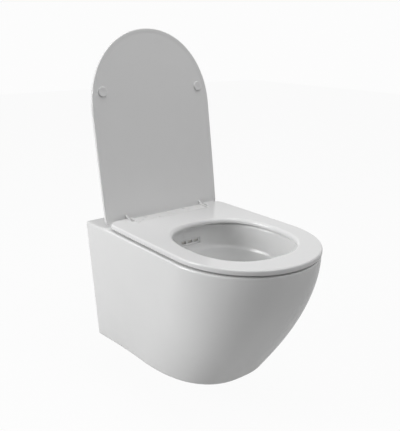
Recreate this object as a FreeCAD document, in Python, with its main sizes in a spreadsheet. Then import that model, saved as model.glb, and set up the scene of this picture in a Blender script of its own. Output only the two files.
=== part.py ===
import FreeCAD, Part
import math
import os
import re

import Sketcher

# Wall hung toilet with a soft-close seat and lid.
# Frame: +Z up, the wall is the plane y = 0, the front of the pan points along -Y,
# and the origin is midway between the two wall studs, on the wall.
# "Depth" is the distance from the wall towards the front, so y = -depth.

SIZES = [
    # the ceramic pan
    ("rim_height", 80.0, "top of the ceramic above the wall studs"),
    ("pan_width", 361.0, "widest part of the ceramic, at the rim"),
    ("pan_rear_width", 370.0, "ceramic width at the wall, at the rim"),
    ("pan_depth", 560.0, "front of the rim from the wall"),
    ("pan_widest_depth", 369.0, "where the rim is widest"),
    ("pan_power", 1.95, "front curve: 2 is an ellipse"),
    ("body_height", 327.0, "ceramic from its foot to the rim"),
    ("foot_depth", 396.0, "front of the foot from the wall"),
    ("foot_width", 300.0, "foot width where its front curve starts"),
    ("foot_rear_width", 324.0, "foot width at the wall"),
    ("foot_widest_depth", 164.0, "where the foot's front curve starts"),
    ("foot_power", 2.57, "front curve of the foot"),
    ("belly_upper", 1.65, "profile of the front, near the rim"),
    ("belly_lower", 1.06, "profile of the front, near the foot"),
    ("rim_rounding", 4.0, "outer edge of the rim"),
    ("foot_rounding", 9.0, "edge round the foot"),
    ("skin_wall", 10.0, "thickness of the skirt"),
    ("deck_wall", 14.0, "thickness of the rim and the rear shelf"),
    # the bowl
    ("bowl_centre_depth", 354.0, "middle of the bowl's mouth"),
    ("bowl_length", 318.0, "mouth of the bowl, front to back"),
    ("bowl_width", 264.0, "mouth of the bowl, side to side"),
    ("bowl_power", 2.3, "outline of the mouth"),
    ("bowl_wall", 9.0, "thickness of the bowl"),
    ("mouth_rounding", 7.0, "inner edge of the rim"),
    ("channel_recess", 5.0, "how far the flush channel is drawn outwards"),
    ("channel_depth", 26.0, "middle of the flush channel below the rim"),
    ("ledge_depth", 50.0, "flush ledge below the rim"),
    ("ledge_width", 8.0, "how far the ledge stands into the bowl"),
    ("bowl_floor_depth", 200.0, "where the bowl meets the throat"),
    ("bowl_curve", 1.6, "section of the bowl: 2 is an ellipse"),
    ("throat_depth", 272.0, "throat from the wall"),
    ("throat_radius", 32.0, "throat of the bowl"),
    # trap and connections
    ("trap_bore", 27.0, "radius of the waterway"),
    ("trap_wall", 9.0, "ceramic round the waterway"),
    ("trap_bend", 45.0, "radius of the bends"),
    ("dip_drop", 172.0, "middle of the dip below the studs"),
    ("crest_drop", 68.0, "middle of the crest below the studs"),
    ("outlet_drop", 100.0, "middle of the outlet below the studs"),
    ("outlet_radius", 51.0, "outside of the outlet spigot"),
    ("outlet_bore", 42.0, "inside of the outlet spigot"),
    ("outlet_length", 60.0, "spigot and the taper behind it"),
    ("spigot_setback", 2.0, "end of the spigot from the wall"),
    ("inlet_rise", 35.0, "middle of the flush inlet above the studs"),
    ("inlet_bore", 27.5, "radius of the inlet socket"),
    ("inlet_length", 40.0, "depth of the inlet socket"),
    ("duct_bore", 17.0, "radius of the flush duct"),
    ("duct_wall", 8.0, "ceramic round the duct"),
    ("duct_rise", 40.0, "middle of the duct above the studs"),
    # flush diffuser and inlet seal
    ("diffuser_width", 59.0, "width of the diffuser"),
    ("diffuser_height", 17.0, "height of the diffuser"),
    ("diffuser_length", 16.0, "front to back"),
    ("diffuser_front", 190.0, "front of the diffuser from the wall"),
    ("slot_height", 7.0, "height of its three mouths"),
    ("slot_width", 14.0, "width of each mouth"),
    ("flush_pipe_radius", 22.6, "bore of the seal, for a 45 mm flush pipe"),
    ("seal_length", 34.0, "length of the seal"),
    ("seal_lip_radius", 31.0, "flange of the seal"),
    ("seal_lip", 3.0, "thickness of that flange"),
    ("seal_groove", 1.2, "grooves round the seal"),
    ("seal_groove_width", 4.0, "grooves round the seal"),
    ("diffuser_wall", 3.0, "shell of the diffuser"),
    ("mouth_spacing", 19.0, "mouths of the diffuser, centre to centre"),
    # seat ring
    ("seat_width", 350.0, "widest part of the seat"),
    ("seat_rear_width", 346.0, "width of the seat at its rear"),
    ("seat_rear", 87.0, "rear edge of the seat from the wall"),
    ("seat_front", 561.0, "front of the seat from the wall"),
    ("seat_widest_depth", 369.0, "where the seat is widest"),
    ("seat_power", 2.05, "front curve of the seat"),
    ("seat_side_power", 3.4, "how the sides reach the full width"),
    ("seat_corner", 24.0, "rear corners of the seat"),
    ("seat_gap", 4.5, "air between the ceramic and the seat"),
    ("seat_thickness", 11.5, "seat ring"),
    ("seat_rounding", 3.6, "upper outer edge"),
    ("hole_length", 283.0, "opening in the seat, front to back"),
    ("hole_width", 252.0, "opening in the seat, side to side"),
    ("hole_centre_depth", 353.0, "middle of the opening"),
    ("hole_power", 2.4, "outline of the opening"),
    ("hole_rounding", 8.0, "upper inner edge"),
    # lid
    ("lid_gap", 3.0, "air between the closed lid and the seat"),
    ("lid_thickness", 11.0, "lid"),
    ("lid_overhang", 0.0, "how far the lid passes the seat all round"),
    ("lid_corner", 14.0, "rear corners of the lid"),
    ("lid_rounding", 5.5, "upper edge of the closed lid"),
    ("lid_tail", 1.4, "rear edge of the closed lid behind the axis"),
    ("lid_lip_width", 9.0, "raised border of the underside"),
    ("lid_lip_height", 0.8, "how far that border stands out"),
    ("lid_open_angle", 98.7, "lid from closed to its stop"),
    ("seat_open_angle", 94.0, "seat from down to its stop"),
    # hinge
    ("axis_depth", 93.5, "hinge axis from the wall"),
    ("axis_height", 8.0, "hinge axis above the ceramic"),
    ("pin_radius", 3.0, "hinge pins"),
    ("running_gap", 0.05, "radial clearance of turning parts"),
    ("bar_half_width", 106.0, "half width of the hinge bar"),
    ("bar_front", 124.0, "front of the bar from the wall"),
    ("bar_lift", 0.5, "air under the bar"),
    ("barrel_radius", 7.5, "rounded rear of the bar"),
    ("rib_width", 6.0, "raised rib at each end of the bar"),
    ("rib_front", 128.0, "front of the ribs from the wall"),
    ("rib_radius", 9.8, "rounded rear of the ribs"),
    ("rib_drop", 1.0, "fall of the rib towards its front"),
    ("lug_width", 6.0, "lid lug beside each rib"),
    ("lug_radius", 6.0, "lug round the pin"),
    ("lug_length", 18.0, "root of the lug on the lid"),
    ("lug_notch", 20.5, "seat's notch round the lugs, ahead of the axis"),
    ("side_gap", 0.4, "sideways air between hinge parts"),
    ("notch_gap", 0.8, "air round the bar in the seat's notch"),
    ("boss_length", 18.0, "seat boss on the pin"),
    ("pin_reach", 134.0, "end of the pin from the middle"),
    ("boss_radius", 6.0, "seat boss"),
    ("relief_depth", 4.5, "relief under the seat's rear edge"),
    ("relief_start", 6.5, "relief starts ahead of the axis"),
    ("relief_end", 27.0, "relief ends ahead of the axis"),
    ("relief_half", 170.0, "relief from the middle"),
    ("cavity_rear", 100.6, "rear of the hollow in the bar"),
    ("cavity_half", 103.0, "half width of the hollow in the bar"),
    ("cavity_front_wall", 2.0, "front wall of the bar"),
    ("bar_top_wall", 2.5, "top wall of the bar"),
    ("damper_radius", 5.5, "damper housing"),
    ("damper_wall", 1.4, "damper housing wall"),
    ("damper_length", 46.0, "damper housing"),
    ("rotor_length", 34.0, "rotor in the damper"),
    ("rotor_start", 2.5, "rotor from the closed end of the housing"),
    # hinge posts and what holds them
    ("post_spacing", 155.0, "seat holes, centre to centre"),
    ("post_depth", 111.0, "seat holes from the wall"),
    ("post_hole_radius", 6.0, "seat hole in the ceramic"),
    ("post_radius", 5.0, "hinge post"),
    ("post_height", 11.0, "top of the post above the ceramic"),
    ("flange_radius", 9.6, "foot of the post"),
    ("flange_thickness", 1.5, "foot of the post"),
    ("washer_thickness", 1.0, "rubber under the post"),
    ("neck_radius", 3.4, "groove for the latch"),
    ("neck_low", 4.0, "groove above the ceramic"),
    ("neck_height", 3.0, "groove"),
    ("stud_radius", 3.0, "stud below the post"),
    ("stud_length", 46.0, "stud below the ceramic's top"),
    ("sleeve_start", 1.0, "top of the expansion sleeve below the rim"),
    ("sleeve_bulge_radius", 8.0, "expansion sleeve below the deck"),
    ("sleeve_taper", 3.0, "tapered lower end of the sleeve"),
    ("sleeve_end", 34.0, "lower end of the sleeve below the rim"),
    ("cone_start", 30.0, "top of the cone nut below the rim"),
    ("cone_length", 9.0, "cone nut"),
    ("cone_taper", 6.0, "tapered part of the cone nut"),
    ("cone_tip_radius", 4.2, "top of the cone nut"),
    ("cone_radius", 7.0, "cone nut"),
    ("post_boss_radius", 8.6, "socket for the post in the bar"),
    ("post_play", 0.1, "radial clearance of the post in its socket"),
    # quick release
    ("button_length", 26.0, "release button, side to side"),
    ("button_width", 11.0, "release button, front to back"),
    ("button_depth", 111.0, "middle of the button from the wall"),
    ("button_travel", 2.0, "how far the button and the latches move"),
    ("button_gap", 0.3, "air round the button"),
    ("latch_width", 8.0, "latch, front to back"),
    ("latch_thickness", 2.4, "latch"),
    ("latch_inner", 5.3, "inner end of the latch from the middle"),
    ("latch_outer", 73.8, "outer end of the latch from the middle"),
    ("latch_gap", 0.3, "air round the latch"),
    ("guide_start", 40.0, "latch guide in the bar from the middle"),
    ("guide_end", 56.0, "latch guide in the bar from the middle"),
    ("button_height", 6.5, "release button"),
    ("button_lip", 1.0, "lip that keeps the button in"),
    ("button_lip_height", 1.5, "lip that keeps the button in"),
    ("leg_drop", 5.1, "button legs below the button"),
    ("leg_thickness", 2.0, "button leg in the latch window"),
    ("leg_width", 4.0, "button leg, front to back"),
    ("window_gap", 0.45, "air round the leg"),
    ("leg_place", 9.0, "button leg from the middle"),
    ("spring_radius", 2.4, "return spring"),
    ("spring_wire", 0.45, "radius of its wire"),
    ("spring_flats", 8.0, "sides of the wire's section"),
    ("spring_turns", 4.5, "turns of the spring"),
    ("plate_thickness", 1.0, "closing plate under the bar"),
    # rubber buffers
    ("buffer_length", 26.0, "seat buffer, side to side"),
    ("buffer_width", 11.0, "seat buffer, front to back"),
    ("buffer_clearance", 0.3, "air under a buffer"),
    ("front_buffer_depth", 494.0, "front seat buffers from the wall"),
    ("front_buffer_turn", 38.0, "its turn in plan, degrees"),
    ("front_buffer_half", 92.0, "front seat buffers from the middle"),
    ("rear_buffer_depth", 145.0, "rear seat buffers from the wall"),
    ("rear_buffer_turn", 90.0, "its turn in plan, degrees"),
    ("rear_buffer_half", 150.0, "rear seat buffers from the middle"),
    ("lid_buffer_radius", 12.0, "lid buffer"),
    ("lid_buffer_depth", 414.0, "lid buffers from the wall, lid closed"),
    ("lid_buffer_half", 143.0, "lid buffers from the middle"),
    # wall fixing
    ("wall_stud_spacing", 180.0, "wall studs, centre to centre"),
    ("bracket_width", 40.0, "wall bracket"),
    ("bracket_steel", 4.0, "wall bracket plate"),
    ("bracket_drop", 30.0, "bracket below the studs"),
    ("bracket_rise", 20.0, "top of the bracket above the studs"),
    ("tongue_length", 66.0, "bracket tongue from the wall"),
    ("bracket_hole_radius", 6.5, "hole for a 12 mm stud"),
    ("bracket_bend", 3.0, "inner bend of the bracket"),
    ("bracket_corner", 5.0, "corners of the bracket"),
    ("shelf_thickness", 18.0, "ceramic shelf on the bracket"),
    ("shelf_start", 12.0, "shelf from the wall"),
    ("shelf_inner", 62.0, "inner end of the shelf from the middle"),
    ("clamp_depth", 46.0, "clamp screw from the wall"),
    ("clamp_radius", 4.0, "clamp screw"),
    ("clamp_head_radius", 7.5, "head of the clamp screw"),
    ("clamp_head", 5.0, "head of the clamp screw"),
    ("clamp_play", 0.5, "radial clearance of the screw in the bracket"),
    ("clamp_end", 31.0, "top of the clamp screw above the studs"),
    ("clamp_key", 6.0, "hexagon socket in the head"),
    ("insert_radius", 8.0, "threaded insert"),
    ("insert_length", 14.0, "threaded insert"),
    ("nut_flats", 19.0, "wall nut across its flats"),
    ("nut_height", 10.0, "wall nut"),
    ("nut_washer_radius", 12.0, "washer"),
    ("nut_washer", 2.5, "washer"),
    ("access_length", 96.0, "hand hole in the foot, front to back"),
    ("access_width", 200.0, "hand hole in the foot, side to side"),
    ("inlet_split", 150.0, "front of the node with the flush inlet, from the wall"),
    ("trap_split", 227.0, "front of the node with the trap's riser, from the wall"),
    ("bowl_split", 105.0, "lower edge of the upper bowl below the rim"),
    ("access_start", 44.0, "hand hole from the wall"),
]

doc = FreeCAD.newDocument("WallHungToilet")
sheet = doc.addObject("Spreadsheet::Sheet", "Sizes")
for row, (alias, value, note) in enumerate(SIZES, start=1):
    sheet.set("A%d" % row, note)
    sheet.set("B%d" % row, str(value))
    sheet.setAlias("B%d" % row, alias)
doc.recompute()


class Sheet:
    """Reads a size from the spreadsheet by its alias."""

    def __getattr__(self, alias):
        return float(sheet.get(alias))


size = Sheet()
EXTRA = 1.0  # how far a cutting tool passes the face it opens
X_AXIS = FreeCAD.Vector(1, 0, 0)
Y_AXIS = FreeCAD.Vector(0, 1, 0)
Z_AXIS = FreeCAD.Vector(0, 0, 1)
SIDES = (("left", -1), ("right", 1))
finished = []


def at(x, depth, z):
    """A point from its distance to the middle, its depth from the wall and its height."""
    return FreeCAD.Vector(x, -depth, z)


# ---------------------------------------------------------------- document helpers

def feature(name, shape, placement=None):
    """A named piece whose shape comes from Part's own functions."""
    piece = doc.addObject("Part::Feature", name)
    piece.Label = name
    piece.Shape = shape
    if placement is not None:
        piece.Placement = placement
    finished.append(piece)
    return piece


def new_body(name, placement=None):
    """A named PartDesign body."""
    body = doc.addObject("PartDesign::Body", name)
    body.Label = name
    if placement is not None:
        body.Placement = placement
    finished.append(body)
    return body


def new_sketch(body, name, role, offset="0"):
    """A sketch on one of the body's own origin planes, moved along its normal."""
    sketch = body.newObject("Sketcher::SketchObject", name)
    planes = [item for item in body.Origin.OriginFeatures if item.Role == role]
    sketch.AttachmentSupport = [(planes[0], "")]
    sketch.MapMode = "FlatFace"
    if offset != "0":
        sketch.setExpression("AttachmentOffset.Base.z", linked(offset))
    return sketch


def linked(formula):
    """A formula in the sheet's aliases, as an expression other objects can follow."""
    return re.sub(r"[a-z][a-z_]+", r"Sizes.\g<0>", formula)


def number(formula):
    """The present value of such a formula."""
    return float(sheet.evalExpression(linked(formula)))


def bind(sketch, kind, parts, expression):
    """One dimension of a sketch, bound to the spreadsheet."""
    index = sketch.addConstraint(Sketcher.Constraint(kind, *parts, number(expression)))
    sketch.setExpression("Constraints[%d]" % index, linked(expression))


def circle(sketch, x, y, radius):
    """A circle from its centre and radius, all bound."""
    centre = FreeCAD.Vector(number(x), number(y), 0)
    edge = sketch.addGeometry(Part.Circle(centre, Z_AXIS, number(radius)), False)
    bind(sketch, "Radius", (edge,), radius)
    place_point(sketch, edge, 3, x, y)


def place_point(sketch, edge, vertex, x, y):
    """Ties a vertex to the sketch's origin by two bound distances."""
    for kind, expression, axis in (("DistanceX", x, -2), ("DistanceY", y, -1)):
        if expression == "0":
            sketch.addConstraint(Sketcher.Constraint("PointOnObject", edge, vertex, axis))
        else:
            bind(sketch, kind, (-1, 1, edge, vertex), expression)


def polygon(sketch, points):
    """A closed outline of straight lines through bound points (x, y)."""
    corners = [FreeCAD.Vector(number(x), number(y), 0) for x, y in points]
    edges = []
    for index, corner in enumerate(corners):
        following = corners[(index + 1) % len(corners)]
        edges.append(sketch.addGeometry(Part.LineSegment(corner, following), False))
    for index, edge in enumerate(edges):
        following = edges[(index + 1) % len(edges)]
        sketch.addConstraint(Sketcher.Constraint("Coincident", edge, 2, following, 1))
    for edge, (x, y) in zip(edges, points):
        place_point(sketch, edge, 1, x, y)


def rectangle(sketch, x_low, y_low, x_high, y_high):
    polygon(sketch, [(x_low, y_low), (x_high, y_low), (x_high, y_high), (x_low, y_high)])


def pad(body, sketch, length, name, midplane=False, reverse=False):
    feature_pad = body.newObject("PartDesign::Pad", name)
    feature_pad.Profile = sketch
    feature_pad.setExpression("Length", linked(length))
    feature_pad.Midplane = midplane
    feature_pad.Reversed = reverse
    return feature_pad


def pocket(body, sketch, length, name, reverse=False, midplane=False):
    """A pocket that has to remove material."""
    doc.recompute()
    before = body.Shape.Volume
    cut = body.newObject("PartDesign::Pocket", name)
    cut.Profile = sketch
    cut.setExpression("Length", linked(length))
    cut.Reversed = reverse
    cut.Midplane = midplane
    doc.recompute()
    if body.Shape.Volume >= before:
        raise RuntimeError(name + " removes nothing")
    return cut


def dress(body, kind, amount, name, chosen):
    """Rounds or bevels the edges of a body that pass a test."""
    doc.recompute()
    tip = body.Tip
    names = ["Edge%d" % count for count, edge in enumerate(tip.Shape.Edges, start=1) if chosen(edge)]
    if not names:
        raise RuntimeError(name + " finds no edge")
    dressed = body.newObject("PartDesign::" + kind, name)
    dressed.Base = (tip, names)
    dressed.setExpression("Radius" if kind == "Fillet" else "Size", linked(amount))
    return dressed


def upright(edge):
    return edge.BoundBox.ZLength > 0.5 and edge.BoundBox.DiagonalLength - edge.BoundBox.ZLength < 0.01


def level(edge, height):
    """True for an edge that lies wholly at a height of the body's own frame."""
    return abs(edge.BoundBox.ZMin - height) < 0.01 and abs(edge.BoundBox.ZMax - height) < 0.01


def revolve(body, sketch, name):
    turned = body.newObject("PartDesign::Revolution", name)
    turned.Profile = sketch
    turned.ReferenceAxis = (sketch, ["V_Axis"])
    turned.Angle = 360.0
    return turned


# ---------------------------------------------------------------- shared outlines

def outline_points(rear, front, rear_half, half, widest, side_power, power, count=18):
    """Half of a D-shaped outline: a side that widens from the rear, then a superellipse."""
    points = []
    for index in range(count):
        share = index / count
        depth = rear + (widest - rear) * share
        points.append((half - (half - rear_half) * (1 - share) ** side_power, depth))
    for index in range(count + 1):
        turn = math.pi / 2 * index / count
        across = half * max(math.cos(turn), 0.0) ** (2 / power)
        ahead = widest + (front - widest) * max(math.sin(turn), 0.0) ** (2 / power)
        points.append((across if index < count else 0.0, ahead))
    return points


def d_wire(half_points, height):
    """A closed wire: one curve round the front and a straight rear edge."""
    right = [at(x, depth, height) for x, depth in half_points]
    left = [at(-x, depth, height) for x, depth in reversed(half_points[:-1])]
    curve = Part.BSplineCurve()
    curve.interpolate(right + left)
    rear_edge = Part.LineSegment(left[-1], right[0])
    return Part.Wire([curve.toShape(), rear_edge.toShape()])


def oval_wire(centre, half_length, half_width, power, height, count=40):
    """A closed superellipse."""
    points = []
    for index in range(count):
        turn = 2 * math.pi * index / count
        cosine = math.cos(turn)
        sine = math.sin(turn)
        x = half_width * math.copysign(abs(cosine) ** (2 / power), cosine)
        depth = centre + half_length * math.copysign(abs(sine) ** (2 / power), sine)
        points.append(at(x, depth, height))
    curve = Part.BSplineCurve()
    curve.interpolate(Points=points, PeriodicFlag=True)
    return Part.Wire([curve.toShape()])


def slab(wire, thickness, hole=None):
    """A flat plate of a wire's outline, with one hole."""
    face = Part.Face([wire, hole] if hole else [wire])
    return face.extrude(FreeCAD.Vector(0, 0, thickness))


def block(x_low, x_high, depth_low, depth_high, z_low, z_high):
    """A box between two distances from the middle, two depths and two heights."""
    corner = at(x_low, depth_high, z_low)
    return Part.makeBox(x_high - x_low, depth_high - depth_low, z_high - z_low, corner)


def rod(radius, start, direction, length):
    return Part.makeCylinder(radius, length, start, direction)


# ---------------------------------------------------------------- pan

def pan_section(height, inset=0.0, rear=0.0):
    """Outline of the skirt at a height above the wall studs."""
    share = (size.rim_height - height) / size.body_height
    fall = 1 - (1 - share ** size.belly_upper) ** size.belly_lower
    front = size.pan_depth + (size.foot_depth - size.pan_depth) * fall
    widest = size.pan_widest_depth + (size.foot_widest_depth - size.pan_widest_depth) * fall
    half = (size.pan_width + (size.foot_width - size.pan_width) * fall) / 2
    rear_half = (size.pan_rear_width + (size.foot_rear_width - size.pan_rear_width) * share) / 2
    power = size.pan_power + (size.foot_power - size.pan_power) * share
    points = outline_points(rear, front - inset, rear_half - inset, half - inset, widest, 1.5, power)
    return d_wire(points, height)


def pan_skirt(z_low, z_high, inset=0.0, rear=0.0, steps=9):
    """The skirt between two heights, as one smooth loft."""
    wires = []
    for index in range(steps + 1):
        height = z_high + (z_low - z_high) * index / steps
        wires.append(pan_section(height, inset, rear))
    return Part.makeLoft(wires, True, False)


def bowl_section(drop, grow=0.0):
    """Outline of the bowl at a drop below the rim; grow adds its wall."""
    half_length = size.bowl_length / 2
    half_width = size.bowl_width / 2
    centre = size.bowl_centre_depth
    if drop <= size.ledge_depth:
        # rimless edge: the wall is drawn out into the flush channel, then comes in to the ledge
        wave = math.sin(math.pi * min(drop / (2 * size.channel_depth), 1.0))
        shift = size.channel_recess * wave
        if drop > 2 * size.channel_depth * 0.85:
            shift = -size.ledge_width
        return oval_wire(centre, half_length + shift + grow, half_width + shift + grow,
                         size.bowl_power, size.rim_height - drop)
    share = (drop - size.ledge_depth) / (size.bowl_floor_depth - size.ledge_depth)
    spread = max(1 - share ** size.bowl_curve, 0.0) ** (1 / size.bowl_curve)
    length = size.throat_radius + (half_length - size.ledge_width - size.throat_radius) * spread
    width = size.throat_radius + (half_width - size.ledge_width - size.throat_radius) * spread
    middle = size.throat_depth + (centre - size.throat_depth) * spread
    power = 2 + (size.bowl_power - 2) * spread
    return oval_wire(middle, length + grow, width + grow, power, size.rim_height - drop)


def bowl_form(grow=0.0):
    """The space inside the bowl, or with grow, the bowl's outside."""
    drops = [0.0, 0.35 * size.channel_depth, size.channel_depth, 1.55 * size.channel_depth,
             size.ledge_depth]
    steps = 8
    for index in range(1, steps + 1):
        share = math.sin(math.pi / 2 * index / steps)
        drops.append(size.ledge_depth + (size.bowl_floor_depth - size.ledge_depth) * share)
    wires = [bowl_section(drop, grow) for drop in drops]
    return Part.makeLoft(wires, True, False)


def arc_between(start, middle, end):
    return Part.Arc(start, middle, end).toShape()


def trap_path():
    """Middle line of the waterway: throat, dip, riser, crest and run to the outlet."""
    bend = size.trap_bend
    near = bend * (1 - math.cos(math.pi / 4))
    dip = -size.dip_drop
    crest = -size.crest_drop
    riser = size.throat_depth - 2 * bend
    top = size.rim_height - size.bowl_floor_depth + EXTRA
    edges = [Part.LineSegment(at(0, size.throat_depth, top),
                              at(0, size.throat_depth, dip + bend)).toShape()]
    edges.append(arc_between(at(0, size.throat_depth, dip + bend),
                             at(0, size.throat_depth - near, dip + near),
                             at(0, size.throat_depth - bend, dip)))
    edges.append(arc_between(at(0, riser + bend, dip), at(0, riser + near, dip + near),
                             at(0, riser, dip + bend)))
    edges.append(Part.LineSegment(at(0, riser, dip + bend), at(0, riser, crest - bend)).toShape())
    edges.append(arc_between(at(0, riser, crest - bend), at(0, riser - near, crest - near),
                             at(0, riser - bend, crest)))
    # two equal arcs bring the waterway down from the crest to the outlet
    fall = size.outlet_drop - size.crest_drop
    run = riser - bend - (size.spigot_setback + size.outlet_length)
    turn = 2 * math.atan(fall / run)
    radius = run / 2 / math.sin(turn)
    half = turn / 2
    start = riser - bend
    middle = at(0, start - run / 2, crest - fall / 2)
    edges.append(arc_between(at(0, start, crest),
                             at(0, start - radius * math.sin(half), crest - radius * (1 - math.cos(half))),
                             middle))
    end = start - run
    low = -size.outlet_drop
    edges.append(arc_between(middle,
                             at(0, end + radius * math.sin(half), low + radius * (1 - math.cos(half))),
                             at(0, end, low)))
    edges.append(Part.LineSegment(at(0, end, low), at(0, size.spigot_setback, low)).toShape())
    return Part.Wire(edges)


def trap_tube(radius):
    path = trap_path()
    start = at(0, size.throat_depth, size.rim_height - size.bowl_floor_depth + EXTRA)
    profile = Part.Wire([Part.makeCircle(radius, start, -Z_AXIS)])
    tube = path.makePipeShell([profile], True, False)
    if tube.Volume < 0:
        tube.reverse()
    return tube


def outlet_form(radius, reach):
    """The outlet spigot or its bore: a cylinder, then a cone down to the waterway."""
    start = size.spigot_setback - (EXTRA if radius == size.outlet_bore else 0.0)
    length = size.outlet_length + size.spigot_setback - start
    small = size.trap_bore if radius == size.outlet_bore else size.trap_bore + size.trap_wall
    body = rod(radius, at(0, start, -size.outlet_drop), -Y_AXIS, length - reach)
    cone = Part.makeCone(radius, small, reach, at(0, start + length - reach, -size.outlet_drop), -Y_AXIS)
    return body.fuse(cone)


def make_pan():
    """One fired ceramic piece: skirt, deck, bowl, trap, connections, shelves and holes."""
    foot = size.rim_height - size.body_height
    outside = pan_skirt(foot, size.rim_height, 0.0, -EXTRA)
    rim_edges = []
    foot_edges = []
    for edge in outside.Edges:
        box = edge.BoundBox
        if box.ZLength < 0.01 and box.YLength > 10:
            if abs(box.ZMin - size.rim_height) < 0.01:
                rim_edges.append(edge)
            if abs(box.ZMin - foot) < 0.01:
                foot_edges.append(edge)
    outside = outside.makeFillet(size.rim_rounding, rim_edges)
    foot_edges = [edge for edge in outside.Edges
                  if abs(edge.BoundBox.ZMin - foot) < 0.01 and abs(edge.BoundBox.ZMax - foot) < 0.01
                  and edge.BoundBox.YLength > 10]
    outside = outside.makeFillet(size.foot_rounding, foot_edges)

    hollow = pan_skirt(foot + size.skin_wall, size.rim_height - size.deck_wall, size.skin_wall, -EXTRA)
    skin = outside.cut(hollow)

    bowl = bowl_form(size.bowl_wall).common(outside)
    trap = trap_tube(size.trap_bore + size.trap_wall)
    spigot = outlet_form(size.outlet_radius, size.outlet_radius - size.trap_bore)
    socket = rod(size.inlet_bore + size.duct_wall, at(0, 0, size.inlet_rise), -Y_AXIS,
                 size.inlet_length + size.duct_wall)
    duct_end = size.bowl_centre_depth - size.bowl_length / 2 - size.channel_recess
    duct = rod(size.duct_bore + size.duct_wall, at(0, 0, size.duct_rise), -Y_AXIS, duct_end)
    chest = block(-size.diffuser_width / 2 - size.duct_wall, size.diffuser_width / 2 + size.duct_wall,
                  duct_end - size.duct_bore - size.duct_wall, duct_end,
                  size.duct_rise - size.diffuser_height / 2 - size.duct_wall,
                  size.rim_height - size.deck_wall + EXTRA)
    solid = skin.multiFuse([bowl, trap, spigot, socket, duct, chest])

    shelves = []
    for side_name, side in SIDES:
        outer = size.pan_rear_width / 2
        x_low, x_high = sorted((side * size.shelf_inner, side * outer))
        shelves.append(block(x_low, x_high, size.shelf_start, size.tongue_length + 2,
                             size.bracket_rise, size.bracket_rise + size.shelf_thickness))
    solid = solid.multiFuse([shelf.common(outside) for shelf in shelves])

    tools = [bowl_form(), trap_tube(size.trap_bore)]
    tools.append(outlet_form(size.outlet_bore, size.outlet_bore - size.trap_bore))
    throat_low = at(0, size.throat_depth, size.trap_bend - size.dip_drop)
    throat_length = size.dip_drop - size.trap_bend + size.rim_height - size.bowl_floor_depth + EXTRA
    tools.append(rod(size.throat_radius - EXTRA, throat_low, Z_AXIS, throat_length))
    tools.append(rod(size.inlet_bore, at(0, -EXTRA, size.inlet_rise), -Y_AXIS, size.inlet_length + EXTRA))
    tools.append(rod(size.seal_lip_radius + 0.2, at(0, -EXTRA, size.inlet_rise), -Y_AXIS,
                     size.seal_lip + EXTRA))
    nest = size.diffuser_front - size.diffuser_length
    tools.append(rod(size.duct_bore, at(0, 0, size.duct_rise), -Y_AXIS, nest - size.diffuser_wall))
    half = size.diffuser_width / 2
    tools.append(block(-half, half, nest - size.diffuser_wall - EXTRA,
                       size.diffuser_front + size.ledge_width,
                       size.duct_rise - size.diffuser_height / 2,
                       size.duct_rise + size.diffuser_height / 2))
    tools.append(block(-size.access_width / 2, size.access_width / 2, size.access_start,
                       size.access_start + size.access_length, foot - EXTRA, foot + size.skin_wall + EXTRA))
    for side_name, side in SIDES:
        tools.append(rod(size.post_hole_radius,
                         at(side * size.post_spacing / 2, size.post_depth,
                            size.rim_height - size.deck_wall - EXTRA), Z_AXIS, size.deck_wall + 2 * EXTRA))
        tools.append(rod(size.insert_radius,
                         at(side * size.wall_stud_spacing / 2, size.clamp_depth,
                            size.bracket_rise - EXTRA), Z_AXIS, size.insert_length + EXTRA))
    reach = size.pan_depth + size.pan_width
    tools.append(block(-reach, reach, -reach, 0, -reach, reach))
    for tool in tools:
        solid = solid.cut(tool)
    mouth = [edge for edge in solid.Edges
             if edge.BoundBox.ZLength < 0.01 and abs(edge.BoundBox.ZMin - size.rim_height) < 0.01
             and edge.BoundBox.XLength > size.bowl_width * 0.9
             and edge.BoundBox.XLength < size.bowl_width * 1.1]
    solid = solid.makeFillet(size.mouth_rounding, mouth)
    return solid.Solids[0]


def pan_nodes(pan):
    """The one casting cut along planes into touching nodes, each round a simple hollow."""
    reach = size.pan_depth + size.pan_width
    deck_low = size.rim_height - size.deck_wall
    bowl_low = size.rim_height - size.bowl_split
    nodes = {"pan_deck": pan.common(block(-reach, reach, -EXTRA, reach, deck_low, reach))}
    lower = pan.common(block(-reach, reach, -EXTRA, reach, -reach, deck_low))
    waterway, skirt = sorted(lower.Solids, key=lambda solid: solid.BoundBox.XLength)
    for side_name, side in SIDES:
        x_low, x_high = sorted((0, side * reach))
        nodes["pan_skirt_" + side_name] = skirt.common(block(x_low, x_high, -EXTRA, reach, -reach, deck_low))
    regions = {
        "pan_inlet": (-EXTRA, size.inlet_split, bowl_low, deck_low),
        "pan_bowl": (size.inlet_split, reach, bowl_low, deck_low),
        "pan_trap": (-EXTRA, size.trap_split, -reach, bowl_low),
        "pan_sump": (size.trap_split, reach, -reach, bowl_low),
    }
    for name, (near, far, low, high) in regions.items():
        nodes[name] = waterway.common(block(-reach, reach, near, far, low, high))
    return nodes
# ---------------------------------------------------------------- seat ring and lid

RIM = size.rim_height
AXIS_Z = RIM + size.axis_height
PIN = at(0, size.axis_depth, AXIS_Z)
LID_TURN = FreeCAD.Placement(FreeCAD.Vector(), FreeCAD.Rotation(-X_AXIS, size.lid_open_angle), PIN)
LUG_START = size.bar_half_width + size.rib_width + size.side_gap
LUG_END = LUG_START + size.lug_width
SEAT_LOW = RIM + size.seat_gap
SEAT_TOP = SEAT_LOW + size.seat_thickness
LID_LOW = SEAT_TOP + size.lid_gap


def seat_outline(grow, rear, height):
    """The seat's outline, grown at the front and sides, with its own rear edge."""
    points = outline_points(rear, size.seat_front + grow, size.seat_rear_width / 2 + grow,
                            size.seat_width / 2 + grow, size.seat_widest_depth,
                            size.seat_side_power, size.seat_power)
    return d_wire(points, height)


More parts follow.
